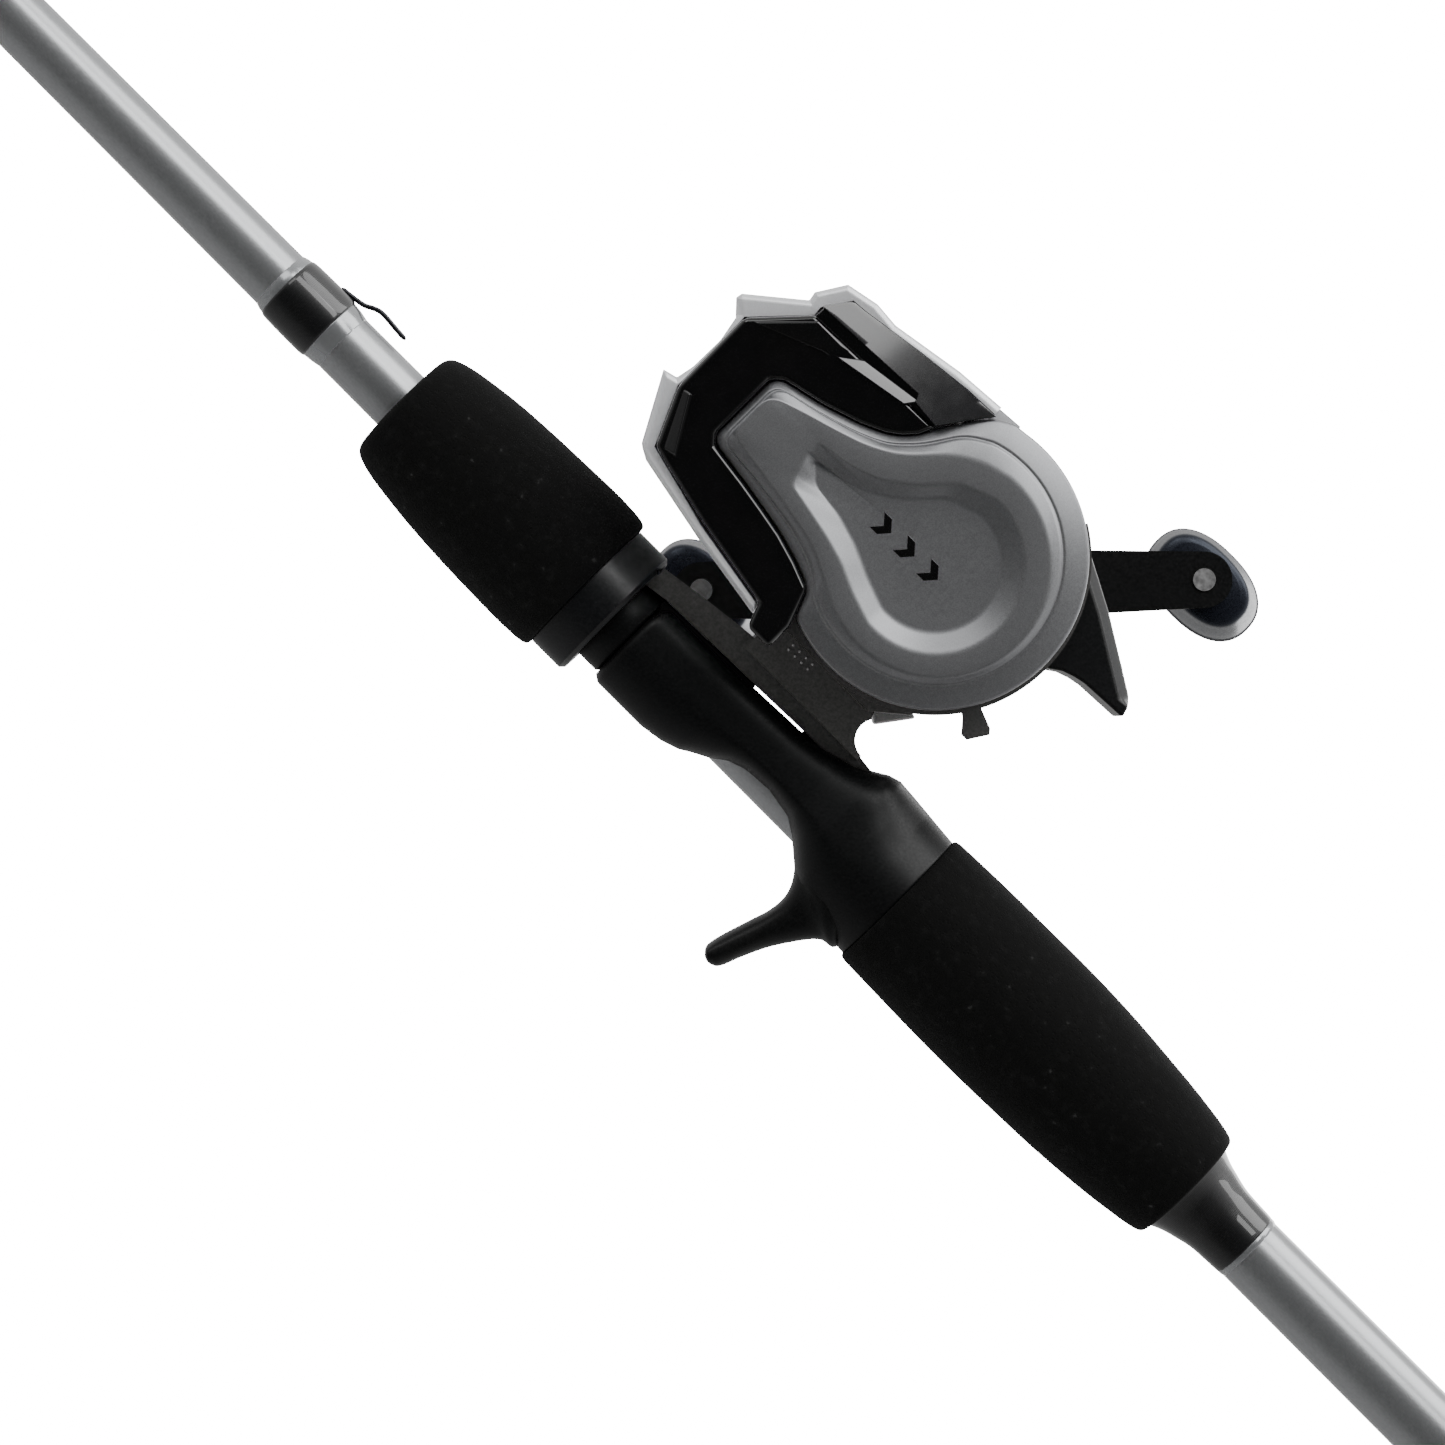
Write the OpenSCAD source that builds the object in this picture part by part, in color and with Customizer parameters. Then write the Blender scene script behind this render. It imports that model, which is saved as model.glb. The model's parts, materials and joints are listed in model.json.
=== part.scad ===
// Baitcasting rod with a low-profile reel. Millimetres, +Z up, the tip towards -X.
// The origin is on the rod's axis at the butt end. The reel and seat are drawn about
// a station seat_x ahead of the butt end, with x measured from there.

/* [Rod] */
// Length of the rod
rod_len = 1981; // [1800:1:2150]
// Blank radius at the tip
tip_r = 0.95; // [0.8:0.05:1.1]
// Blank radius at the butt end
butt_r = 6.39; // [6.3:0.01:6.45]
// Distance from the butt end to the reel station
seat_x = 285; // [270:1:300]
// Length of the butt grip and cap
butt_len = 75; // [60:1:90]
// Radius of the butt grip and cap
butt_grip_r = 13.5; // [13:0.1:14]

/* [Guides] */
// Distance of each guide's ring from the butt end
guide_x = [1050, 1206, 1426, 1606, 1756, 1881]; // [1000:1:1950]
// Bore radius of each guide ring
guide_bore = [4.3, 3.5, 2.7, 2.2, 1.8, 1.8]; // [1.5:0.1:5]
// Height of each ring's centre over the rod's axis
guide_h = [19, 15.5, 12.5, 10.5, 9, 8.4]; // [8:0.1:22]

/* [Reel] */
// Half the gap between the frame's side plates
plate_in = 11.9; // [11.7:0.1:12.1]
// Outer face of the palm plate, from the middle
palm_y = 27; // [26.5:0.1:27.5]
// Outer face of the handle side plate, from the middle
handle_y = 27; // [26.5:0.1:27.5]
// Radius of the palm plate's round end
palm_r = 24.14; // [24:0.01:24.3]
// Spool flange radius
spool_r = 16.5; // [16:0.1:16.7]

/* [Gears] */
// Distance between the handle axis and the spool axis
gear_centres = 17.4; // [17.3:0.1:17.5]
// Main gear teeth
main_teeth = 64; // [64:1:64]
// Pinion teeth
pinion_teeth = 10; // [10:1:10]
// Level-wind gear module
wind_module = 0.5; // [0.5:0.01:0.5]

/* [Handle] */
// Distance between the two knob rivets
knob_centres = 84; // [82:0.5:86]
// Angle of the handle arm above the rod's axis
arm_angle = 46.2; // [40:0.1:50]

/* [Hidden] */
$fn = 64;
slope = (butt_r - tip_r) / rod_len;      // change of the blank's radius per millimetre
handle_c = [10.93, 43.4];                // handle axis, as x and z
spool_c = handle_c - [gear_centres, 0];  // spool axis
palm_c = [5.46, 42.3];                   // centre of the palm plate's round end
idler_c = spool_c - [10, 0];             // idler gear axis
worm_c = idler_c - [13.5, 0];            // level-wind worm axis
rail_c = [worm_c[0] - 3, 36.5];          // axis of the rail that steers the line guide
main_module = 2 * gear_centres / (main_teeth + pinion_teeth);
side_y = -17;                            // inner edge of the palm side's covers
plate_out = 14.4;                        // outer face of the frame's side plates
wind_y = [-16.6, -14.9];                 // faces of the level-wind gears
foot_half = 6.5;                         // half width of the reel's foot
hood_half = 23.4;                        // half width of the front hood
thread_r = 8.6;                          // radius of the seat's threaded barrel
arm_dir = [cos(arm_angle), sin(arm_angle)];

// Blank radius at a place x behind the reel station
function blank_r(x) = butt_r - slope * (seat_x - x);
// Points on an arc about c, from angle a0 to a1 in n steps
function arc(c, r, a0, a1, n) =
  [for (i = [0:n]) c + r * [cos(a0 + (a1 - a0) * i / n), sin(a0 + (a1 - a0) * i / n)]];
// Radius of a swelling grip: widest at x0, falling off by a squared law
function swell(x, x0, r0, kf, kr) = r0 - (x < x0 ? kf : kr) * pow(x - x0, 2);

// Places children at the reel station
module at_reel() translate([-seat_x, 0, 0]) children();
// An outline in x and z, made solid from y0 to y1
module slab(y0, y1)
  translate([0, y1, 0]) rotate([90, 0, 0]) linear_extrude(height = y1 - y0) children();
// A round bar along Y about c
module rod_y(c, r, y0, y1)
  translate([c[0], y0, c[1]]) rotate([-90, 0, 0]) cylinder(r = r, h = y1 - y0);
// A round bar along X
module rod_x(x0, x1, r, z = 0)
  translate([x0, 0, z]) rotate([0, 90, 0]) cylinder(r = r, h = x1 - x0);
// A profile of [x, radius] turned about the rod's axis
module turned(profile)
  rotate([0, 90, 0]) rotate_extrude($fn = 96) polygon([for (p = profile) [p[1], p[0]]]);
// A profile of [y, radius] turned about an axis along Y through c
module turned_y(c, profile)
  translate([c[0], 0, c[1]]) rotate([-90, 0, 0]) rotate_extrude($fn = 96)
    polygon([for (p = profile) [p[1], p[0]]]);
// The blank's outside between two stations, grown by gap
module blank_cone(x0, x1, gap = 0)
  translate([x0, 0, 0]) rotate([0, 90, 0])
    cylinder(r1 = blank_r(x0) + gap, r2 = blank_r(x1) + gap, h = x1 - x0, $fn = 96);
// A sleeve on the blank with chamfered ends
module sleeve(x0, x1, r0, r1)
  difference() {
    turned([[x0, 0], [x0, blank_r(x0) + 0.15], [x0 + 2, r0], [x1 - 2, r1],
      [x1, blank_r(x1) + 0.15], [x1, 0]]);
    blank_cone(x0 - 1, x1 + 1);
  }
// One slim tooth: each point's place in the pitch, and its height over the pitch circle in modules
tooth = [[-0.31, -1.15], [-0.13, 0.85], [0.13, 0.85], [0.31, -1.15]];
// A toothed wheel outline; turn moves its first tooth
module gear_outline(teeth, m, turn)
  rotate(turn)
    polygon([for (i = [0:teeth - 1], k = tooth)
      (m * teeth / 2 + k[1] * m) * [cos((i + k[0]) * 360 / teeth), sin((i + k[0]) * 360 / teeth)]]);
// A toothed wheel from y0 to y1
module gear(c, teeth, m, turn, y0, y1)
  slab(y0, y1) translate(c) gear_outline(teeth, m, turn);
// A ring on an axis along Y
module ring_y(c, ro, ri, y0, y1)
  difference() {
    rod_y(c, ro, y0, y1);
    rod_y(c, ri, y0 - 1, y1 + 1);
  }

// ---- Rod ----
blank_wall = 1.4;                        // at the butt end
module blank() color("silver") at_reel()
  difference() {
    blank_cone(seat_x - rod_len + 3, seat_x - 3);
    translate([seat_x - rod_len, 0, 0]) rotate([0, 90, 0])
      cylinder(r1 = 0.35, r2 = butt_r - blank_wall, h = rod_len, $fn = 96);
  }
module butt_cap() color("black")
  difference() {
    turned([[-10, 0], [-10, butt_grip_r], [0, butt_grip_r], [0, 0]]);
    turned([[-11, 0], [-11, butt_r], [-3, butt_r], [-3, 0]]);
  }
module butt_grip() color("#141414") at_reel()
  difference() {
    turned([[seat_x - butt_len, 0], [seat_x - butt_len, 10.3], [seat_x - butt_len + 3, 11.6],
      [seat_x - butt_len + 12, 12.8], [seat_x - butt_len + 25, butt_grip_r],
      [seat_x - 10, butt_grip_r], [seat_x - 10, 0]]);
    blank_cone(seat_x - butt_len - 1, seat_x);
  }
module butt_wrap() color("black") at_reel()
  sleeve(seat_x - butt_len - 14, seat_x - butt_len, 7.0, 8.4);
module rear_grip() color("#141414") at_reel()
  difference() {
    turned(concat([[40, 0]], [for (x = [40:6:100]) [x, swell(x, 66, 13.67, 0.0008, 0.00175)]],
      [[104.8, 10.9], [105.8, 10.3], [105.8, 0]]));
    blank_cone(39, 107);
  }
module rear_grip_wrap() color("#0a0a0a") at_reel()
  difference() {
    turned([[105.8, 0], [105.8, 8.8], [108, 7.8], [110.5, 7.1], [113, 6.6], [119, 6.3],
      [120, blank_r(120) + 0.1], [120, 0]]);
    blank_cone(104, 121);
  }
seat_gap = 0.02;                         // between the reel's foot and the seat
seat_top = [[-20, 4.6], [-18.5, 6.7], [0, 7.2], [10, 7.8], [15, 8.8], [20, 10.2], [22.5, 11.5],
  [25, 13], [27, 13.6], [40, 12.5]];
seat_bottom = [[40, -12.5], [36, -12.6], [30, -11.2], [24.5, -8], [22, -6], [21, -5.2], [18, -3.5],
  [13, -2.6], [8, -3], [5, -4], [2.5, -5.6], [0, -6.8], [-5, -9], [-9, -9.7], [-19, -9.7], [-20, -8.8]];
trigger_outline = concat([[22, -6], [24.5, -8], [26.3, -10.5], [27, -13], [26.6, -16], [25.7, -19],
  [24.2, -24]], arc([25.5, -27], 1.9, 165, 330, 8), [[28.5, -25.5], [31, -20.5], [34, -16],
  [36, -13.8], [38, -12.7], [38, -9], [30, -8]]);
module foot_outline(gap)
  polygon([[-28.3, 6.9 - gap], [-24.3, 6.9 - gap], [-19.5, 7.6 - gap], [0, 8 - gap], [10, 8.3 - gap],
    [30 + gap, 8.3 - gap], [30 + gap, 9.8 + gap], [22, 11.4 + gap], [17, 12 + gap], [-5, 13.3 + gap],
    [-8.5, 13 + gap], [-16, 12.1 + gap], [-24, 10.9 + gap], [-24, 9.4 + gap], [-28.3, 8.6 + gap]]);
module reel_seat() color("#1a1b1d") at_reel()
  difference() {
    union() {
      intersection() {
        slab(-15, 15) polygon(concat(seat_top, seat_bottom));
        turned([[-20, 0], [-20, 10.2], [0, 10.6], [15, 11.4], [22, 12.6], [27, 13.6], [40, 12.5],
          [40, 0]]);
      }
      slab(-5.4, 5.4) polygon([[-19.4, 5], [-19.4, 7.6], [-0.4, 8], [-0.4, 5]]);
      slab(-5.4, 5.4) polygon([[10.2, 5], [10.2, 8.3], [20, 8.3], [20, 5]]);
      slab(-4.6, 4.6) polygon(trigger_outline);
      rod_x(-62, -19.9, thread_r);
    }
    blank_cone(-63, 41);
    slab(-foot_half - 0.2, foot_half + 0.2) intersection() {
      foot_outline(seat_gap);
      translate([-30, 0]) square([70, 30]);
    }
  }
hood_r = 12.35;                          // moving hood
thread_fit = 0.06;                       // between the barrel's thread and what rides on it
module moving_hood() color("#1c1d20") at_reel()
  difference() {
    turned([[-31, 0], [-31, hood_r], [-25, hood_r], [-24.3, hood_r - 0.7], [-24.3, 0]]);
    rod_x(-32, -22, thread_r + thread_fit);
    slab(-foot_half - 0.3, foot_half + 0.3) translate([-29, 6.4]) square([10, 3.6]);
  }
nut_r = 10.4;                            // lock nut under the fore grip
module lock_nut() color("#202124") at_reel()
  difference() {
    rod_x(-57, -31.15, nut_r);
    rod_x(-58, -31, thread_r + thread_fit);
  }
module fore_grip() color("#141414") at_reel()
  difference() {
    turned(concat([[-72.8, 0], [-72.8, 9.6], [-72, 10.7], [-70.9, 11.4]],
      [for (x = [-67:5:-37]) [x, swell(x, -38, 14.03, 0.00205, 0.0078)]],
      [[-33, 13.85], [-31.7, 13.5], [-31.15, 12.9], [-31.15, 0]]));
    rod_x(-57, -31, nut_r);
    rod_x(-68, -56, 9);
    rod_x(-74, -67, 5.75);
  }
wire_w = 0.72;                           // hook keeper wire
wire_line = [[-93, 5.95], [-88.3, 6.3], [-86.6, 7.2], [-85, 7.55], [-80.2, 7.15]];
module hook_keeper() color("black") at_reel()
  slab(-wire_w / 2, wire_w / 2)
    polygon(concat(wire_line, [for (i = [4:-1:0]) wire_line[i] + [0.05, wire_w]]));
module hook_keeper_wrap() color("black") at_reel()
  difference() {
    turned([[-101, 0], [-101, 5.4], [-99.3, 6.05], [-89.6, 6.1], [-86.5, 5.45], [-86.5, 0]]);
    blank_cone(-102, -85);
    hook_room();
  }
module hook_room() translate([-93.4, -0.5, 5.55]) cube([8, 1, 3]);

// ---- Guides ----
function local_x(i) = seat_x - guide_x[i];
module guide_ring(i) color("#2b2b2e") at_reel()
  translate([local_x(i), 0, guide_h[i]]) rotate([0, 90, 0]) rotate_extrude($fn = 96)
    translate([guide_bore[i] + 0.55, 0]) square([1.1, 1.6], center = true);
// How far each leg of a guide leans along the rod, and where the second leg of a double one is
function leg_reach(i) = guide_h[i] * 0.85;
second_leg = 0.7;
double_guides = 2;
module guide_frame(i) color("#46474a") at_reel() {
  x = local_x(i);
  r_out = guide_bore[i] + 1.1;
  base = blank_r(x) + 0.7;
  reach = leg_reach(i);
  double = i < double_guides;
  translate([x, 0, guide_h[i]]) rotate([0, 90, 0]) rotate_extrude($fn = 96)
    translate([r_out + 0.5, 0]) square([1, 1.2], center = true);
  for (s = [-1, 1]) {
    strut([x - 0.2, s * (r_out + 0.75), guide_h[i]], [x - reach, s, base], 0.45);
    if (double)
      strut([x + 0.2, s * (r_out + 0.75), guide_h[i]], [x + reach * second_leg, s, base], 0.45);
  }
  if (!double) strut([x - 0.3, 0, guide_h[i] - r_out - 0.9], [x - reach, 0, base], 0.5);
  foot_strip(x - reach - 12, x - reach + 0.6);
  if (double) foot_strip(x + reach * second_leg - 0.6, x + reach * second_leg + 12);
}
// A wire between two points
module strut(a, b, r) {
  d = b - a;
  translate(a) rotate([0, acos(d[2] / norm(d)), atan2(d[1], d[0])]) cylinder(r = r, h = norm(d), $fn = 16);
}
foot_h = 0.9;                            // thickness of a guide's foot
// A guide's foot, lying on the blank
module foot_strip(x0, x1)
  difference() {
    translate([x0, -1.5, 0]) cube([x1 - x0, 3, blank_r(x1) + foot_h]);
    blank_cone(x0 - 1, x1 + 1);
    translate([x0 - 1, -3, -20]) cube([x1 - x0 + 2, 6, 20]);
  }
module guide_wraps() color("black") at_reel()
  for (i = [0:5]) {
    x = local_x(i);
    reach = leg_reach(i);
    wrap_over(x - reach - 16, x - reach - 1.8);
    if (i < double_guides) wrap_over(x + reach * second_leg + 1.8, x + reach * second_leg + 16);
  }
// A thread wrap over a guide's foot
module wrap_over(x0, x1)
  difference() {
    sleeve(x0, x1, blank_r(x0) + 1.25, blank_r(x1) + 1.25);
    translate([x0 - 1, -1.5, 0]) cube([x1 - x0 + 2, 3, blank_r(x1) + foot_h + 0.02]);
  }
tip_h = 4.6;                             // height of the tip ring's centre
module tip_top() color("#46474a") at_reel() {
  x = seat_x - rod_len;
  difference() {
    union() {
      rod_x(x + 2, x + 16, 1.6);
      strut([x + 2.2, 0, 0], [x + 0.9, 0, tip_h - 3.3], 0.9);
    }
    blank_cone(x + 3, x + 20);
  }
  translate([x + 0.9, 0, tip_h]) rotate([0, 90, 0]) rotate_extrude($fn = 96)
    translate([2.95, 0]) square([0.9, 1.3], center = true);
  for (s = [-1, 1]) strut([x + 9, s * 1.4, 0.4], [x + 1.2, s * 2.9, tip_h], 0.4);
}
module tip_ring() color("#2b2b2e") at_reel()
  translate([seat_x - rod_len + 0.9, 0, tip_h]) rotate([0, 90, 0]) rotate_extrude($fn = 96)
    translate([2, 0]) square([1, 1.7], center = true);

// ---- Reel frame and covers ----
neck_points = [[-31.3, 30.2], [-24.4, 29.3], [-14.6, 27.6], [-9.8, 26.2], [-5.5, 24.5], [-3.7, 19.8],
  [5, 22], [5, 62], [0.4, 65.9], [-3.4, 64.6], [-6.8, 60], [-8.8, 56.6], [-10.2, 53.4], [-13.7, 50.7],
  [-18, 48.6], [-24.4, 46.5], [-31.3, 44.9], [-32.8, 43.4], [-32.8, 31.8]];
// The keyhole outline of the palm plate; cut draws it smaller all round
module keyhole(cut = 0) {
  translate(palm_c) circle(r = palm_r - cut, $fn = 96);
  if (cut == 0) polygon(neck_points);
  if (cut > 0) polygon([[-32.8 + cut, 31.8 + cut], [-14.6, 28 + cut], [-3, 26], [5, 24], [5, 60],
    [-3, 58.5], [-9.6, 52.4 - cut], [-18, 48 - cut], [-32.8 + cut, 43.6 - cut]]);
}
cover_points = [[-42.7, 47.6], [-42.5, 32.7], [-38.3, 23.4], [-35.2, 22.8], [-24.4, 19.8],
  [-8.9, 18.5], [-8.9, 16.4], [-7.6, 13.4], [-3.3, 13.4], [-3.3, 18.2], [5, 19], [5, 64],
  [-3.4, 64.9], [-9.8, 64.6], [-19.5, 63.5], [-29.8, 61.9], [-32.5, 61.7], [-35.2, 57.3], [-35, 55.7]];
module palm_plate() color("#77797c") at_reel() {
  difference() {
    union() {
      slab(-palm_y + 1.4, side_y) keyhole();
      slab(-palm_y, -palm_y + 1.4) keyhole(2.6);
    }
    slab(-palm_y + 2.6, side_y + 1) keyhole(2);
    // recess in the outer face
    slab(-palm_y - 1, -palm_y + 1) {
      translate([6, 42]) circle(r = 14);
      polygon([[-19.4, 36], [-10, 34.6], [0, 29.3], [6, 28], [6, 56], [-3, 52.8], [-10, 44.6],
        [-20, 42.4], [-18.8, 39.6]]);
    }
    rod_y(spool_c, 1.5, -24.4, -20);
  }
  ring_y(spool_c, 6.4, spool_bearing_r, -24.45, -20.6);
}
module palm_cover() color("#050506") at_reel()
  difference() {
    slab(-25.6, side_y) polygon(cover_points);
    slab(-26, -14) keyhole(-0.15);
    slab(-26, -14) polygon([[-33, 31.6], [-31.4, 30], [-14.6, 27.4], [-9.8, 26], [-5.4, 24.3],
      [-3.5, 14], [8, 14], [8, 70], [0.4, 66.5], [-3.6, 64.8], [-7, 60], [-9, 56.6], [-10.4, 53.5],
      [-13.8, 50.9], [-18, 48.8], [-24.4, 46.7], [-31.4, 45.1], [-33, 43.5]]);
    slab(-23.6, -14) polygon([[-40.9, 46.8], [-40.7, 33.1], [-37, 25], [-24, 21.8], [-4.2, 20.2],
      [-4.2, 62.8], [-20, 61.7], [-31.5, 60], [-33.4, 56.8]]);
    slab(-26, -24.8) polygon([[-36, 55.9], [-35.4, 57.4], [-14.6, 58.2], [-14, 57]]);
  }
frame_outline = [[-40.5, 46.5], [-40.3, 33.2], [-36.6, 25.2], [-24, 21.4], [-9, 20.5], [-3, 17.6],
  [15, 17.6], [20, 21.8], [26.5, 31], [27.5, 42], [25, 52], [19.5, 59.5], [12, 63.4], [-9, 62],
  [-20, 61], [-31, 59.2], [-33, 56]];
// Bars between the side plates: over the foot, bottom front, top front and rear
frame_bars = [
  [[-3, 17.6], [15, 17.6], [20, 21.8], [19, 24], [-3, 24.6]],
  [[-39.6, 31.7], [-36.6, 25.2], [-30, 23.2], [-28.5, 28], [-34, 31.5]],
  [[-37, 51.6], [-33, 56], [-31, 59.2], [-25, 59.6], [-26, 53], [-33, 50.6]],
  [[21, 26.5], [24.6, 26.5], [26.2, 31], [26.2, 34], [23, 34]]];
stem_outline = concat([[-6, 19.5], [-6, 11], [19.5, 11], [19.5, 11.8]],
  arc([19.5, 15.4], 3.5, 268, 150, 8), [[15.4, 19.5]]);
module reel_frame() color("#2e2d2c") at_reel() {
  difference() {
    union() {
      slab(-plate_out, -plate_in) polygon(frame_outline);
      slab(plate_in, plate_out) polygon(frame_outline);
      for (bar = frame_bars) slab(-plate_out, plate_out) polygon(bar);
      slab(-9.5, 9.5) polygon(stem_outline);
      slab(-foot_half, foot_half) foot_outline(0);
    }
    rod_y(spool_c, 17.2, -15, -plate_in + 1);
    rod_y(spool_c, 4.4, plate_in - 1, 15);
    for (y = [[-15, -11], [11, 15]]) {
      rod_y(worm_c, 3.6, y[0], y[1]);
      rod_y(rail_c, rail_r, y[0], y[1]);
    }
    rod_y(idler_c, idler_pin_r, -15, -11);
  }
}
hood_outer = [[-37.4, 56.9], [-37.7, 58.3], [-34.8, 63], [-29.4, 64.1], [-25, 63.7], [-12.7, 65.7],
  [0, 66.6], [0, 62], [-9, 62], [-9, 17.7], [-9.3, 16.2], [-24.5, 18.6], [-39.5, 21.6], [-40.2, 22.1],
  [-46.1, 32.9], [-43.8, 33.6], [-43.1, 40], [-44.2, 47.4], [-46.1, 49], [-45.9, 50]];
hood_inner = [[-35.4, 56.6], [-33.6, 60], [-30, 62], [-20, 63], [5, 64.2], [5, 19.4], [-24, 20.6],
  [-37.2, 23.6], [-42, 33], [-41.4, 40], [-42, 48]];
// Room for the side plates and the palm cover inside the hood's ends
side_hole = [[-42.85, 47.75], [-42.65, 32.65], [-38.4, 23.2], [-35.2, 22.4], [-24.4, 19.6],
  [-9.6, 18.3], [-9.6, 14], [0.5, 14], [0.5, 66], [-3.5, 65.2], [-9.8, 64.75], [-19.5, 63.65],
  [-29.8, 62.05], [-32.6, 61.85], [-35.35, 57.3], [-35.15, 55.7]];
window_half = 12.6;                      // half width of the line window
module front_hood() color("#b5b7ba") at_reel()
  difference() {
    slab(-hood_half, hood_half) polygon(hood_outer);
    slab(-21.6, 21.6) polygon(hood_inner);
    for (y = [[-24, side_y + 0.1], [plate_out, 24]]) slab(y[0], y[1]) polygon(side_hole);
    slab(-24, side_y + 0.1) translate([-4, 60]) square([5, 8]);
    slab(-window_half, window_half) translate([-50, 34]) square([12, 13.3]);
    slab(0.2 - window_half, window_half - 0.2) translate([-22, 57]) square([24, 13]);
  }
// The handle side plate's outline; cut draws it smaller all round
module side_outline(cut) {
  translate(palm_c) circle(r = 23.8 - cut, $fn = 96);
  polygon([[-41.5 + cut, 47], [-41.3 + cut, 33], [-37.5 + cut * 0.7, 24 + cut * 0.7], [-24, 20.4 + cut],
    [-4, 18.9 + cut], [5.5, 18.6 + cut], [5.5, 66 - cut], [-9.8, 63.6 - cut], [-29.8, 61.2 - cut],
    [-34.2 + cut * 0.7, 55.8]]);
}
drive_bearing_r = 6.5;                   // outside radius of the handle shaft's bearing
spool_bearing_r = 5;                     // outside radius of the spool's bearings
module handle_side_plate() color("#9b9da0") at_reel() {
  difference() {
    union() {
      slab(15, handle_y - 1.5) side_outline(0);
      slab(handle_y - 1.5, handle_y) side_outline(2.4);
      slab(15, 22) polygon([[15.8, 18.6], [17.7, 17.2], [21.9, 22.8], [19, 24]]);
    }
    slab(14, handle_y - 2.2) side_outline(2.2);
    slab(handle_y - 2.4, handle_y + 1) polygon([[-33, 31], [-19, 29.5], [-13, 32], [-15.5, 43.4],
      [-13, 55], [-19, 56], [-31, 53], [-34, 44]]);
    rod_y(handle_c, drive_bearing_r, 20, handle_y + 1);
    rod_y(spool_c, spool_bearing_r, 20, handle_y + 1);
  }
  ring_y(handle_c, 8, drive_bearing_r, 22.4, handle_y - 2);
}
module handle_side_trim() color("#0a0a0b") at_reel()
  slab(handle_y - 2.1, handle_y - 0.4) polygon([[-32.8, 31.3], [-19.1, 29.8], [-13.4, 32.2], [-15.8, 43.4],
    [-13.4, 54.7], [-19, 55.7], [-30.8, 52.7], [-33.7, 44]]);
screw_places = [[-25, 25.5], [22, 52.5], [-8, 59.5], [16, 24.4]];
module screws() color("#8a8c8f") at_reel() {
  for (p = screw_places) difference() {
    rod_y(p, 1.9, handle_y + 0.02, handle_y + 0.9);
    slab(handle_y + 0.4, handle_y + 2) translate([p[0] - 1.4, p[1] - 0.25]) square([2.8, 0.5]);
    slab(handle_y + 0.4, handle_y + 2) translate([p[0] - 0.25, p[1] - 1.4]) square([0.5, 2.8]);
  }
}

// ---- Brake ----
ring_gap = [-16.7, -14.7];               // faces of the brake's adjusting ring
module brake_ring() color("#3a3b3d") at_reel() {
  intersection() {
    ring_y(palm_c, 24.9, 21.4, ring_gap[0], ring_gap[1]);
    slab(-20, -10) polygon(concat([palm_c], arc(palm_c, 40, -92, 58, 10)));
  }
  slab(ring_gap[0], ring_gap[1]) polygon([[26, 31.2], [28.3, 30.35], [30.75, 29.4], [31.4, 28.6],
    [29.4, 25.5], [28.2, 25.5], [26.4, 27.6], [24.6, 28.6]]);
}
magnet_angles = [-75, -25, 25, 75];
module magnet_carrier() color("#2a2a2c") at_reel()
  difference() {
    ring_y(spool_c, 12.6, 7, -23.6, -22.4);
    slab(-24, -22) translate([spool_c[0] - 24, 20]) square([20, 50]);
  }
module brake_magnets() color("silver") at_reel()
  for (a = magnet_angles) rod_y(spool_c + 9.8 * [cos(a), sin(a)], 2, -22.4, -19);

// ---- Spool and gears ----
spool_shaft_r = 1.15;
drive_r = 3;                             // handle shaft
module spool() color("#c9cbce") at_reel()
  difference() {
    turned_y(spool_c, [[-11.5, 0], [-11.5, spool_r], [-10.4, spool_r], [-9.4, spool_r - 2.2], [-8.6, 9.5],
      [8.6, 9.5], [9.4, spool_r - 2.2], [10.4, spool_r], [11.5, spool_r], [11.5, 0]]);
    ring_y(spool_c, 8.3, 3.2, -12, -1);
    ring_y(spool_c, 8.3, 3.2, 1, 12);
    rod_y(spool_c, spool_shaft_r, -13, 13);
  }
module spool_shaft() color("silver") at_reel() {
  rod_y(spool_c, spool_shaft_r, -24, 25.5);
  difference() {
    gear(spool_c, 14, wind_module, 0, wind_y[0], wind_y[1]);
    rod_y(spool_c, spool_shaft_r, -17, -14);
  }
}
module spool_bearings() color("#b9bcc0") at_reel() {
  ring_y(spool_c, spool_bearing_r, spool_shaft_r + 0.05, -24.4, -20.8);
  ring_y(spool_c, spool_bearing_r - 0.1, spool_shaft_r + 0.05, 25.55, 26.9);
}
module pinion() color("#b08d4a") at_reel()
  difference() {
    union() {
      gear(spool_c, pinion_teeth, main_module, 0, 15.2, 20.8);
      rod_y(spool_c, 1.75, 20.8, 23.4);
      rod_y(spool_c, 2.7, 23.4, 24);
    }
    rod_y(spool_c, 1.2, 14, 26);
  }
module main_gear() color("#b08d4a") at_reel()
  difference() {
    gear(handle_c, main_teeth, main_module, 180 / main_teeth, 16.2, 18.9);
    rod_y(handle_c, drive_r, 14, 20);
    for (a = [0:60:300]) rod_y(handle_c + 9.5 * [cos(a), sin(a)], 2.2, 14, 20);
  }
module drive_shaft() color("silver") at_reel() {
  rod_y(handle_c, drive_r, 14.8, 37.8);
  ring_y(handle_c, 4.5, drive_r, 15.1, 16.2);
}
module drive_bearings() color("#b9bcc0") at_reel()
  ring_y(handle_c, drive_bearing_r, drive_r + 0.05, 22.5, 26.6);
module drag_washers() color("#4b4b4d") at_reel()
  for (i = [0:2]) ring_y(handle_c, 9.5 - i * 0.8, drive_r, 18.9 + i * 0.8, 19.7 + i * 0.8);
module drag_nut() color("#b08d4a") at_reel()
  ring_y(handle_c, 4.2, drive_r + 0.05, 28.8, 31);
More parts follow.
